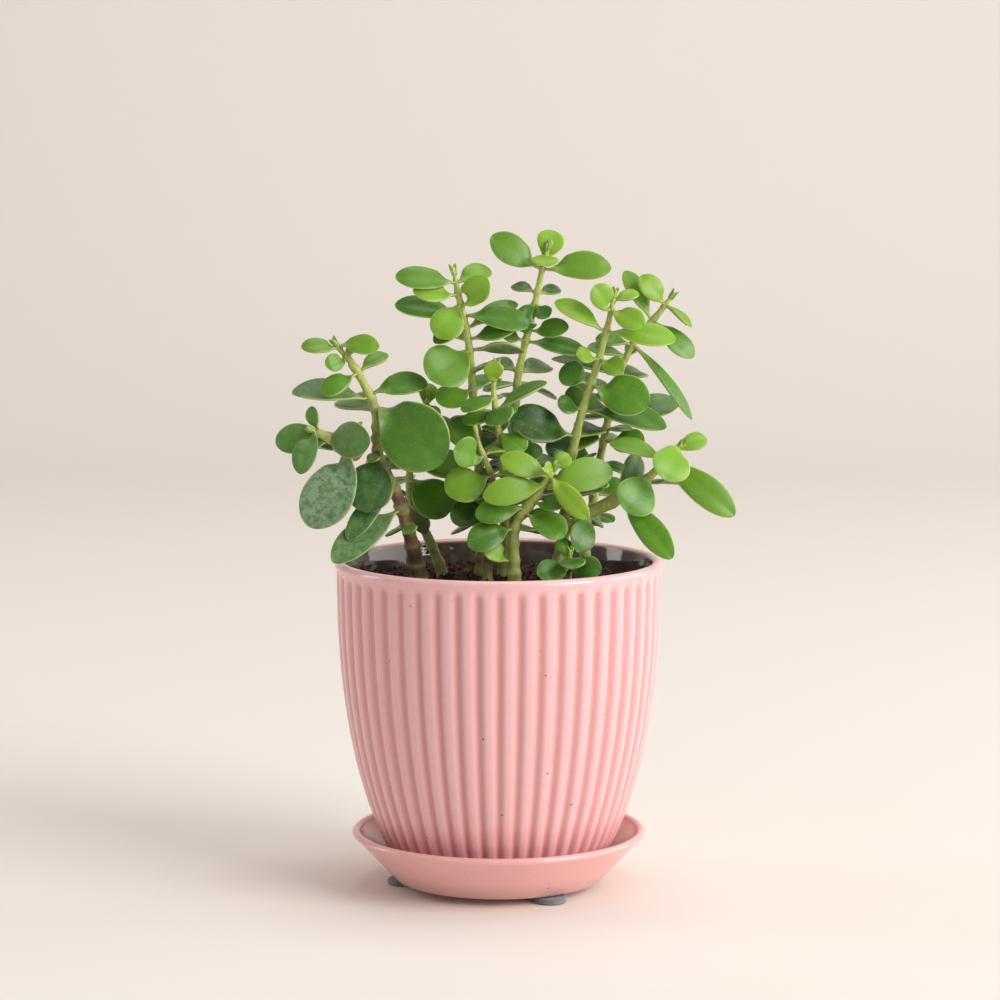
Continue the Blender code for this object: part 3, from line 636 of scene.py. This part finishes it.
def grow_leaf(surface, spot, look, core, axis, rng):
    """One fleshy leaf, from inside the stem to its tip."""
    habit = habit_of(spot, rng)
    out = spot.base - core
    out = (out - out.project(axis)).normalized()
    rings = []
    turns = [math.pi * (0.04 + 0.955 * i / STATIONS) for i in range(STATIONS + 1)]
    for share in [IN_STEM] + [0.5 - 0.5 * math.cos(turn) for turn in turns]:
        held = max(share, 0.0)
        grown = smooth_step(0.0, GROWN_AT, held)
        normal = axis.lerp(spot.normal, grown).normalized()
        ahead = out.lerp((spot.slope + spot.bend * 2.0 * held).normalized(), grown).normalized()
        side = ahead.cross(normal).normalized()
        normal = side.cross(ahead).normalized()
        centre = spot.middle(held) + side * habit.sway * math.sin(math.pi * held)
        if share < 0.0:
            centre = core.lerp(spot.base, 0.45)
        rings.append(leaf_ring(surface, spot, look, habit, held, centre, side, normal))
    for first, second in zip(rings, rings[1:]):
        surface.bridge(second, first)
    ends = {"age": look.age, "bloom": look.bloom, "seed": habit.seed, "upper": 1.0}
    tip = surface.add_point(spot.tip + spot.forward * 0.15, along=1.0, across=1.0, **ends)
    surface.fan(rings[-1], tip, outward=False)
    surface.fan(rings[0], surface.add_point(core.lerp(spot.base, 0.4), along=0.0, **ends))


def grow_bud(surface, base, direction, rng):
    """A growing tip: two pairs of small leaves pressed together."""
    start = direction.orthogonal().normalized()
    start = Matrix.Rotation(rng.uniform(0.0, math.pi), 3, direction) @ start
    for number, (turn, length, lean) in enumerate(BUD_LEAVES):
        side = Matrix.Rotation(math.radians(turn), 3, direction) @ start
        tip = base + direction * BUD_LENGTH * length + side * BUD_LENGTH * lean
        spot = LeafSpot.between(base + side * 0.5, tip, -side, BUD_LENGTH * 0.6, 0.36)
        grow_leaf(surface, spot, Look(BUD_AGE), base, direction, seeded("bud", base.x, number))


def looks_of(group, spots):
    """The look of each leaf of a group."""
    rng = seeded("looks", group)
    common = GROUP_LOOKS[group]
    looks = [
        Look(min(max(common.age + rng.uniform(-0.08, 0.08), 0.0), 1.0), common.bloom * rng.uniform(0.4, 1.1))
        for _ in spots
    ]
    for name, way, look in OWN_LOOKS:
        if name == group:
            reaches = [(spot.tip - spot.base).dot(Vector(way)) for spot in spots]
            looks[reaches.index(max(reaches))] = look
    return looks


def make_leaves(lines, crowd, material):
    """One piece for each CAD group of leaves, and the heights where leaves sit on each stem."""
    joints = {letter: [] for letter in SHOOTS}
    ends = {}
    for node in frame["nodes"]:
        if not node.startswith("leaves_"):
            continue
        group = node.removeprefix("leaves_")
        line = lines[group[0]]
        spots = leaf_spots(node)
        surface = Surface(*LEAF_CHANNELS)
        top = group[1] == "1" and group[0] != "i"
        if top:
            core = sum((spot.base for spot in spots), Vector()) / len(spots)
            ends[group[0]] = core
            direction = (core - line.points[-4]).normalized()
        for number, (spot, look) in enumerate(zip(spots, looks_of(group, spots))):
            joints[group[0]].append(spot.base.z)
            foot, axis = (core, direction) if top else line.nearest(spot.base)[:2]
            grow_leaf(surface, spot, look, foot, axis, seeded(node, number))
        if top:
            grow_bud(surface, core + direction * PAST_END, direction, seeded(node, "bud"))
        crowd.append(surface.tree())
        piece = surface.build(f"jade_leaves_{group}", material)
        slot = next(part["material_slot"] for part in frame["record"]["subparts"] if part["node"] == node)
        stand_for(piece, slot, node)
    return joints, ends


# ---------------------------------------------------------------- stems

# How woody each stem is at its foot and at its top
WOOD = {
    "a": (0.5, -0.1), "b": (0.3, -0.1), "c": (1.0, 0.05), "d": (0.5, 0.1), "e": (0.35, -0.1), "f": (0.4, 0.0),
    "g": (0.2, -0.1), "h": (0.4, 0.0), "i": (0.7, 0.3), "j": (0.4, 0.0), "k": (0.5, 0.1), "l": (0.4, -0.05),
}
SCAR_SPACING = 7.0
PAST_END = 2.6  # how far a stem runs on past the middle of its top leaves, into the bud


def bare_rings(bottom, held, rng):
    """The heights below the leaves of rings where leaves once grew, clear of the leaves that are there."""
    heights = []
    height = max(held)
    while height > bottom + 6.0:
        height -= SCAR_SPACING * rng.uniform(0.7, 1.1)
        if min(abs(height - other) for other in held) > 2.4:
            heights.append(height)
    return heights


def reach_end(line, end):
    """The stem's points and radii, carried on and thinned up to the growing tip at its end."""
    points = list(line.points)
    radii = list(line.radii)
    reach = end - points[-1]
    length = reach.length + PAST_END
    steps = max(2, round(length))
    ahead = reach.normalized()
    for i in range(1, steps + 1):
        points.append(line.points[-1] + ahead * length * i / steps)
        radii.append(line.radii[-1] * (1.0 - 0.35 * i / steps))
    return points, radii


def make_stems(lines, joints, ends, crowd):
    """The stems. It returns the heights of the bare rings on each, where leaves once grew."""
    material = stem_material()
    bare = {}
    for letter, line in lines.items():
        rng = seeded("stem", letter)
        points, radii = reach_end(line, ends[letter]) if letter in ends else (line.points, line.radii)
        bottom = points[0].z
        bare[letter] = bare_rings(bottom, joints[letter], rng)
        scars = joints[letter] + bare[letter]
        foot, top = WOOD[letter]
        woods, rings, thick = [], [], []
        for point, radius in zip(points, radii):
            share = (point.z - bottom) / (points[-1].z - bottom)
            ring = max(math.exp(-(((point.z - scar) / 0.9) ** 2)) for scar in scars)
            flare = 0.25 * smooth_step(14.0, 4.0, point.z - bottom)
            woods.append(foot + (top - foot) * share)
            rings.append(ring)
            thick.append(radius * (0.93 + 0.22 * ring + flare + 0.05 * wobble(point, 3.0, rng.random())))
        surface = Surface("wood", "ring")
        surface.tube(points, thick, 18, wood=woods, ring=rings)
        line.tree = surface.tree()
        crowd.append(line.tree)
        piece = surface.build(f"jade_stem_{letter}", material)
        stand_for(piece, "stem", f"stem_{letter}")
    return bare


FILL_LOW, FILL_HIGH = 18.0, 84.0  # above the soil
FILL_REACH = 54.0  # from the middle of the pot
FILL_TRIES = 40


def inner_leaf(core, axis, radius, turn, soil, rng):
    """A random leaf on one side of a stem, as a surface, or None if it would hang out of the plant."""
    angle = math.radians(turn + rng.uniform(-40.0, 40.0))
    out = Vector((math.cos(angle), math.sin(angle), rng.uniform(-0.4, 0.5))).normalized()
    length = rng.uniform(9.0, 21.0)
    tip = core + out * length
    if tip.xy.length > FILL_REACH or tip.z < soil + 12.0:
        return None
    lean = Vector((0.5 * tip.x / FILL_REACH, -0.7, 0.0)) * rng.uniform(0.2, 1.4)
    width = length * rng.uniform(0.55, 0.75)
    spot = LeafSpot.between(core + out * radius, tip, UP + lean, width, 1.0)
    leaf = Surface(*LEAF_CHANNELS)
    look = Look(rng.uniform(0.55, 0.9), rng.choice((0.0, 0.0, 0.25)))
    grow_leaf(leaf, spot, look, core + out * radius * 0.9, axis, rng)
    return leaf


def fit_leaf(inner, line, height, turn, soil, crowd, rng):
    """Adds the first tried leaf that touches nothing but its own stem, if there is one."""
    core = min(line.points, key=lambda point: abs(point.z - height))
    _, axis, radius = line.nearest(core)
    for _ in range(FILL_TRIES):
        leaf = inner_leaf(core, axis, radius, turn, soil, rng)
        if leaf is None:
            continue
        tree = leaf.tree()
        if not any(tree.overlap(other) for other in crowd if other is not line.tree):
            crowd.append(tree)
            inner.take(leaf)
            return


def fill_leaves(lines, bare, crowd, material):
    """Pairs of leaves on the bare rings deep in the plant, turned by a right angle from ring to ring."""
    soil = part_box("soil")[1].z / MM
    for letter, line in lines.items():
        rng = seeded("fill", letter)
        inner = Surface(*LEAF_CHANNELS)
        turn = rng.uniform(0.0, 360.0)
        for height in bare[letter]:
            turn += 90.0
            if FILL_LOW < height - soil < FILL_HIGH:
                for side in (turn, turn + 180.0):
                    fit_leaf(inner, line, height, side, soil, crowd, rng)
        if inner.points:
            piece = inner.build(f"jade_inner_leaves_{letter}", material)
            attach(piece, "root")


# ---------------------------------------------------------------- pot and saucer

RIB_COUNT = 50
RIB_DEPTH = 1.1
RIM_BAND = 6.0  # smooth band above the ribs
POT_FOOT = 34.0  # radius of its foot
POT_WALL = 3.8
POT_FLOOR = 4.5
LIP_FLARE = 0.5  # how far the lip stands out past the wall
INNER_TAPER = 1.5  # how much thicker the wall grows below the lip
DRAIN_RADIUS = 5.0
POT_LEVELS = 74
INNER_LEVELS = 15

SAUCER_FOOT = 36.0  # radius of its foot
SAUCER_WALL = 2.9
SAUCER_FLOOR = 3.6
SAUCER_STEP = 0.5  # how much higher than the middle of its underside the edge lies


def turned(surface, rows, columns, closed=False):
    """Rows of (radius, height, painted values), each radius a number or a function of the angle."""
    rings = []
    for radius, height, values in rows:
        ring = []
        for column in range(columns):
            turn = 2.0 * math.pi * column / columns
            reach, painted = radius(turn) if callable(radius) else (radius, {})
            spot = (reach * math.cos(turn), reach * math.sin(turn), height)
            ring.append(surface.add_point(spot, **{**values, **painted}))
        rings.append(ring)
    for first, second in zip(rings, rings[1:]):
        surface.bridge(first, second)
    if closed:
        surface.bridge(rings[-1], rings[0])
    return rings


class PotShape:
    """The pot's walls, for heights above its foot."""

    def __init__(self, height, lip_radius):
        self.height = height
        self.widest = lip_radius - LIP_FLARE
        self.lip = POT_WALL / 2
        self.lip_middle = lip_radius - self.lip
        self.lip_level = height - self.lip

    def wall(self, level):
        """The outer radius without ribs."""
        share = min(max(level / self.height, 0.0), 1.0)
        return POT_FOOT + (self.widest - POT_FOOT) * (1.0 - (1.0 - share) ** 2.45) ** 0.8

    def ribbed(self, level):
        """The outer radius with ribs, as a function of the angle."""
        rib_top = self.height - RIM_BAND
        fade = smooth_step(rib_top + 2.8, rib_top - 0.6, level)

        def reach(turn):
            wave = (1.0 - math.cos(RIB_COUNT * turn)) / 2.0
            # How far into a groove each point lies. The same share paints the groove darker, as painted
            # shade.
            groove = wave**2.0 * fade
            uneven = 0.12 * wobble((30 * math.cos(turn), 30 * math.sin(turn), level), 9.0)
            return self.wall(level) - RIB_DEPTH * groove + uneven * fade, {"hollow": groove}

        return reach

    def outside(self):
        rows = [(DRAIN_RADIUS, 0.0, {})]
        # The foot ring is painted darker.
        rows += [(POT_FOOT - 1.2, 0.0, {"hollow": 0.6}), (POT_FOOT - 0.4, 0.15, {"hollow": 0.6})]
        for i in range(POT_LEVELS + 1):
            level = 0.7 + (self.lip_level - 1.2 - 0.7) * i / POT_LEVELS
            rows.append((self.ribbed(level), level, {}))
        return rows

    def lip_rows(self):
        rows = []
        for step in range(11):
            degrees = 18.0 * step
            turn = math.radians(degrees)
            radius = self.lip_middle + self.lip * math.cos(turn)
            level = self.lip_level + self.lip * math.sin(turn)
            rows.append((radius, level, {"inner": smooth_step(130.0, 170.0, degrees)}))
        return rows

    def inside(self):
        rows = []
        for i in range(1, INNER_LEVELS + 1):
            depth = (self.lip_level - POT_FLOOR) * (i / INNER_LEVELS) ** 1.6
            level = self.lip_level - depth
            taper = INNER_TAPER * smooth_step(0.0, 14.0, depth)
            radius = min(self.wall(level) - POT_WALL - taper, self.lip_middle - self.lip)
            rows.append((radius, level, {"inner": 1.0}))
        rows.append((DRAIN_RADIUS, POT_FLOOR, {"inner": 1.0}))
        return rows


def make_pot():
    low, high = (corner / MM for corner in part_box("pot"))
    shape = PotShape(high.z - low.z, high.x)
    rows = shape.outside() + shape.lip_rows() + shape.inside()
    placed = [(radius, level + low.z, values) for radius, level, values in rows]
    surface = Surface("hollow", "inner")
    turned(surface, placed, RIB_COUNT * 14, closed=True)
    glaze = glaze_material(
        "pot_glaze_fine",
        ridge=colour(238, 186, 188),
        # The groove colour is painted shade in the rib grooves.
        groove=colour(208, 138, 138),
        tint=colour(232, 172, 171),
        foot=colour(214, 150, 147),
    )
    stand_for(surface.build("ribbed_pot", glaze), "pot_glaze", "pot")


def saucer_rows(radius, height):
    """The saucer's section, from the middle of its underside round the lip to the middle of its floor."""
    lip = SAUCER_WALL / 2

    def side(share):
        reach = SAUCER_FOOT + (radius - SAUCER_FOOT) * share - 0.6 * math.sin(math.pi * share)
        return reach, (height - lip) * share**1.08

    # The underside is the darker foot.
    rows = [(24.0, 0.0, {"hollow": 0.8})]
    rows += [(reach, SAUCER_STEP, {"hollow": 0.8}) for reach in (24.5, SAUCER_FOOT - 0.6)]
    for i in range(1, 25):
        reach, level = side(0.04 + 0.9 * i / 24.0)
        # Darker towards the bottom of the outside: partly painted shade, partly thin glaze over the clay.
        rows.append((reach, max(level, SAUCER_STEP + 0.05), {"hollow": smooth_step(9.0, 1.0, level)}))
    for step in range(13):
        turn = math.radians(15.0 * step)
        rows.append((radius - lip + lip * math.cos(turn), height - lip + lip * math.sin(turn), {}))
    for i in range(1, 19):
        share = 0.94 - 0.94 * i / 18.0
        reach, level = side(share)
        inner_level = max(level + SAUCER_WALL * (1.0 - share), SAUCER_FLOOR)
        # The floor inside is the saucer's darker glaze.
        rows.append((reach - SAUCER_WALL, inner_level, {"hollow": smooth_step(0.98, 0.75, share)}))
    return rows


def make_saucer():
    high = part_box("saucer")[1] / MM
    surface = Surface("hollow", "inner")
    rings = turned(surface, saucer_rows(high.x, high.z), 192)
    for ring, level, outward in ((rings[0], 0.0, False), (rings[-1], SAUCER_FLOOR, True)):
        surface.fan(ring, surface.add_point((0.0, 0.0, level), hollow=0.7), outward)
    glaze = glaze_material(
        "saucer_glaze_fine",
        ridge=colour(238, 180, 178),
        # The groove colour is the darker glaze of the floor and foot, and painted shade low on the outside.
        groove=colour(204, 160, 150),
        tint=colour(228, 166, 162),
        foot=colour(212, 148, 142),
    )
    stand_for(surface.build("saucer_dish", glaze), "saucer_glaze", "saucer")


# A pad's rounded edge, from its underside up: shares of its radius and of its thickness
PAD_EDGE = (
    (0.6, 0.0), (0.86, 0.0), (0.97, 0.12), (1.0, 0.35),
    (1.0, 0.7), (0.97, 0.92), (0.86, 1.0), (0.6, 1.0),
)


def make_pads():
    material = felt_material()
    for node in ("felt_pad_1", "felt_pad_2", "felt_pad_3"):
        low, high = (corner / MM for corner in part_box(node))
        middle = (low + high) / 2
        radius = (high.x - low.x) / 2
        surface = Surface()
        rings = []
        for share, rise in PAD_EDGE:
            ring = []
            for i in range(72):
                turn = 2.0 * math.pi * i / 72
                fuzz = 0.28 * wobble((9 * math.cos(turn), 9 * math.sin(turn), 3 * rise), 0.9, 3.0)
                reach = radius * share + fuzz * share
                x, y = middle.x + reach * math.cos(turn), middle.y + reach * math.sin(turn)
                ring.append(surface.add_point((x, y, low.z + (high.z - low.z) * rise)))
            rings.append(ring)
        for first, second in zip(rings, rings[1:]):
            surface.bridge(first, second)
        surface.fan(rings[0], surface.add_point((middle.x, middle.y, low.z)), False)
        surface.fan(rings[-1], surface.add_point((middle.x, middle.y, high.z)), True)
        stand_for(surface.build(f"fuzzy_{node}", material), "felt", node)


# ---------------------------------------------------------------- soil

SOIL_MOUND = 2.5
SOIL_DEPTH = 14.0  # of the drawn soil, whose underside is never seen
CRUMB_COUNT = 1500
FIBRE_COUNT = 300


class Ground:
    """The soil's surface."""

    def __init__(self):
        low, high = (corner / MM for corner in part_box("soil"))
        self.radius = high.x
        self.top = high.z

    def level(self, x, y):
        share = math.hypot(x, y) / self.radius
        lumps = 1.1 * wobble((x, y, 0.0), 7.0) + 0.6 * wobble((x, y, 5.0), 2.4)
        return self.top - SOIL_MOUND * share**2 + lumps * smooth_step(1.0, 0.9, share) - 0.4


def make_soil(ground, material):
    surface = Surface("tone")
    rings = []
    for row in range(1, 61):
        reach = (ground.radius - 0.1) * row / 60.0
        ring = []
        for column in range(150):
            turn = 2.0 * math.pi * column / 150
            x, y = reach * math.cos(turn), reach * math.sin(turn)
            tone = 0.3 + 0.3 * wobble((x, y, 9.0), 3.0)
            ring.append(surface.add_point((x, y, ground.level(x, y)), tone=tone))
        rings.append(ring)
    deep = ground.top - SOIL_DEPTH
    edge = [(surface.points[i] / MM).xy * 0.97 for i in rings[-1]]
    rings.append([surface.add_point((*place, deep), tone=0.2) for place in edge])
    for first, second in zip(rings, rings[1:]):
        surface.bridge(second, first)
    surface.fan(rings[0], surface.add_point((0.0, 0.0, ground.level(0.0, 0.0)), tone=0.3))
    surface.fan(rings[-1], surface.add_point((0.0, 0.0, deep), tone=0.2), False)
    stand_for(surface.build("soil_bed", material), "soil", "soil")


def ball_shape():
    """The corners and faces of a small ball."""
    ball = bmesh.new()
    bmesh.ops.create_icosphere(ball, subdivisions=1, radius=1.0)
    corners = [vertex.co.copy() for vertex in ball.verts]
    sides = [tuple(vertex.index for vertex in face.verts) for face in ball.faces]
    ball.free()
    return corners, sides


def make_crumbs(ground, material):
    """Dented, stretched balls scattered over the soil."""
    rng = seeded("crumbs")
    corners, sides = ball_shape()
    crumbs = Surface("tone")
    for number in range(CRUMB_COUNT):
        reach = (ground.radius - 1.6) * math.sqrt(rng.random())
        turn = rng.uniform(0.0, 2.0 * math.pi)
        x, y = reach * math.cos(turn), reach * math.sin(turn)
        size = 0.35 + 1.0 * rng.random() ** 2.5
        spin_angle = rng.uniform(0.0, 6.3)
        spin_axis = (rng.random() - 0.5, rng.random() - 0.5, rng.random() + 0.1)
        spin = Matrix.Rotation(spin_angle, 3, spin_axis)
        stretch = Vector((rng.uniform(0.7, 1.5), rng.uniform(0.6, 1.1), rng.uniform(0.5, 0.9)))
        middle = Vector((x, y, ground.level(x, y) + size * rng.uniform(0.0, 0.8)))
        tone = min(max(rng.gauss(0.42, 0.22), 0.0), 1.0)
        start = len(crumbs.points)
        for corner in corners:
            dent = 1.0 + 0.35 * wobble(corner, 0.9, number)
            crumbs.add_point(middle + spin @ (corner * stretch * size * dent), tone=tone)
        crumbs.faces += [tuple(start + index for index in side) for side in sides]
    piece = crumbs.build("soil_crumbs", material)
    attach(piece, "root")


def strand(surface, start, heading, length, radius, tone, ground, rng, lift=0.6):
    """A curved fibre that lies on the soil."""
    points = []
    x, y = start
    steps = 12
    curl = rng.uniform(-0.28, 0.28)
    for i in range(steps + 1):
        share = i / steps
        rise = lift * math.sin(math.pi * share) + 0.35
        points.append(Vector((x, y, ground.level(x, y) + rise)))
        x += math.cos(heading) * length / steps
        y += math.sin(heading) * length / steps
        heading += curl + rng.uniform(-0.15, 0.15)
        if math.hypot(x, y) > ground.radius - 1.5:
            heading += 1.2
            x, y = points[-1].x, points[-1].y
    radii = [radius * (0.5 + 0.5 * math.sin(math.pi * (0.1 + 0.8 * i / steps))) for i in range(steps + 1)]
    surface.tube(points, radii, 6, tone=tone)


# The pale roots on the soil: where each starts (x, y), which way it heads, and its length
ROOTS = ((8, -45, 0.5, 11), (41, -25, 1.2, 12), (-20, -40, 2.6, 9), (22, 12, 0.4, 14))


def make_fibres(ground):
    rng = seeded("fibres")
    surface = Surface("tone")
    for _ in range(FIBRE_COUNT):
        reach = (ground.radius - 3.0) * math.sqrt(rng.random())
        turn = rng.uniform(0.0, 2.0 * math.pi)
        start = (reach * math.cos(turn), reach * math.sin(turn))
        tone = rng.uniform(0.0, 0.6)
        heading = rng.uniform(0, 6.3)
        length = rng.uniform(3, 11)
        radius = rng.uniform(0.09, 0.2)
        strand(surface, start, heading, length, radius, tone, ground, rng)
    for x, y, heading, length in ROOTS:
        strand(surface, (x, y), heading, length, 0.32, 0.95, ground, rng, lift=1.6)
    piece = surface.build("soil_fibres", fibre_material())
    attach(piece, "root")


# ---------------------------------------------------------------- stage, light and camera


def make_stage():
    """A pale floor that curves up into a wall."""
    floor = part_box("felt_pad_1")[0].z
    front, back, bend, top = -2.4, 1.3, 0.7, 4.0
    profile = [(front, 0.0), (back, 0.0)]
    for i in range(1, 19):
        turn = math.radians(5 * i)
        profile.append((back + bend * math.sin(turn), bend * (1.0 - math.cos(turn))))
    profile.append((back + bend, top))
    mesh = bpy.data.meshes.new("stage")
    points = [(x, y, floor + z) for y, z in profile for x in (-4.0, 4.0)]
    faces = [(2 * i, 2 * i + 1, 2 * i + 3, 2 * i + 2) for i in range(len(profile) - 1)]
    mesh.from_pydata(points, [], faces)
    mesh.polygons.foreach_set("use_smooth", [True] * len(mesh.polygons))
    paint = Paint("pale_paper")
    paint.set(Base_Color=colour(236, 228, 220), Roughness=0.9)
    mesh.materials.append(paint.material)
    stage = bpy.data.objects.new("stage", mesh)
    bpy.context.scene.collection.objects.link(stage)


def add_light(name, place, target, size, power, tint):
    light = bpy.data.lights.new(name, "AREA")
    light.shape = "RECTANGLE"
    light.size, light.size_y = size
    light.energy = power
    light.color = tint
    lamp = bpy.data.objects.new(name, light)
    lamp.location = place
    lamp.rotation_euler = (Vector(target) - Vector(place)).to_track_quat("-Z", "Y").to_euler()
    bpy.context.scene.collection.objects.link(lamp)


def make_lights():
    """A large soft key from the right, a card on each side, and a weak light overhead."""
    middle = (0.0, 0.0, 0.12)
    add_light("key", (1.9, -1.35, 1.25), middle, (1.5, 1.6), 56.0, (1.0, 0.985, 0.965))
    add_light("right_card", (1.5, 0.25, 0.5), middle, (1.2, 0.95), 9.0, (1.0, 0.985, 0.975))
    add_light("left_card", (-1.5, 0.35, 0.5), middle, (0.45, 0.95), 4.5, (0.98, 0.99, 1.0))
    add_light("top", (0.2, 0.3, 2.2), middle, (1.4, 1.0), 12.0, (1.0, 0.99, 0.97))
    world = bpy.data.worlds.new("studio")
    world.use_nodes = True
    sky = world.node_tree.nodes["Background"]
    sky.inputs["Color"].default_value = colour(246, 246, 246)
    sky.inputs["Strength"].default_value = 0.4
    bpy.context.scene.world = world
    bpy.context.scene.view_settings.view_transform = "Standard"


CAMERA_PLACE = (0.0004, -1.170, 0.277)  # metres
CAMERA_DIP = 6.904  # degrees below the horizon
LENS = 120.8


def make_camera():
    lens = bpy.data.cameras.new("camera")
    lens.lens = LENS
    lens.sensor_width = 36.0
    camera = bpy.data.objects.new("camera", lens)
    camera.location = CAMERA_PLACE
    camera.rotation_euler = (math.radians(90.0 - CAMERA_DIP), 0.0, 0.0)
    bpy.context.scene.collection.objects.link(camera)
    bpy.context.scene.camera = camera


def main():
    make_stage()
    make_lights()
    make_camera()
    make_pot()
    make_saucer()
    make_pads()
    ground = Ground()
    peat = soil_material()
    make_soil(ground, peat)
    make_crumbs(ground, peat)
    make_fibres(ground)
    lines = {letter: StemLine(letter) for letter in SHOOTS}
    leaf = leaf_material()
    crowd = []
    joints, ends = make_leaves(lines, crowd, leaf)
    bare = make_stems(lines, joints, ends, crowd)
    fill_leaves(lines, bare, crowd, leaf)


main()
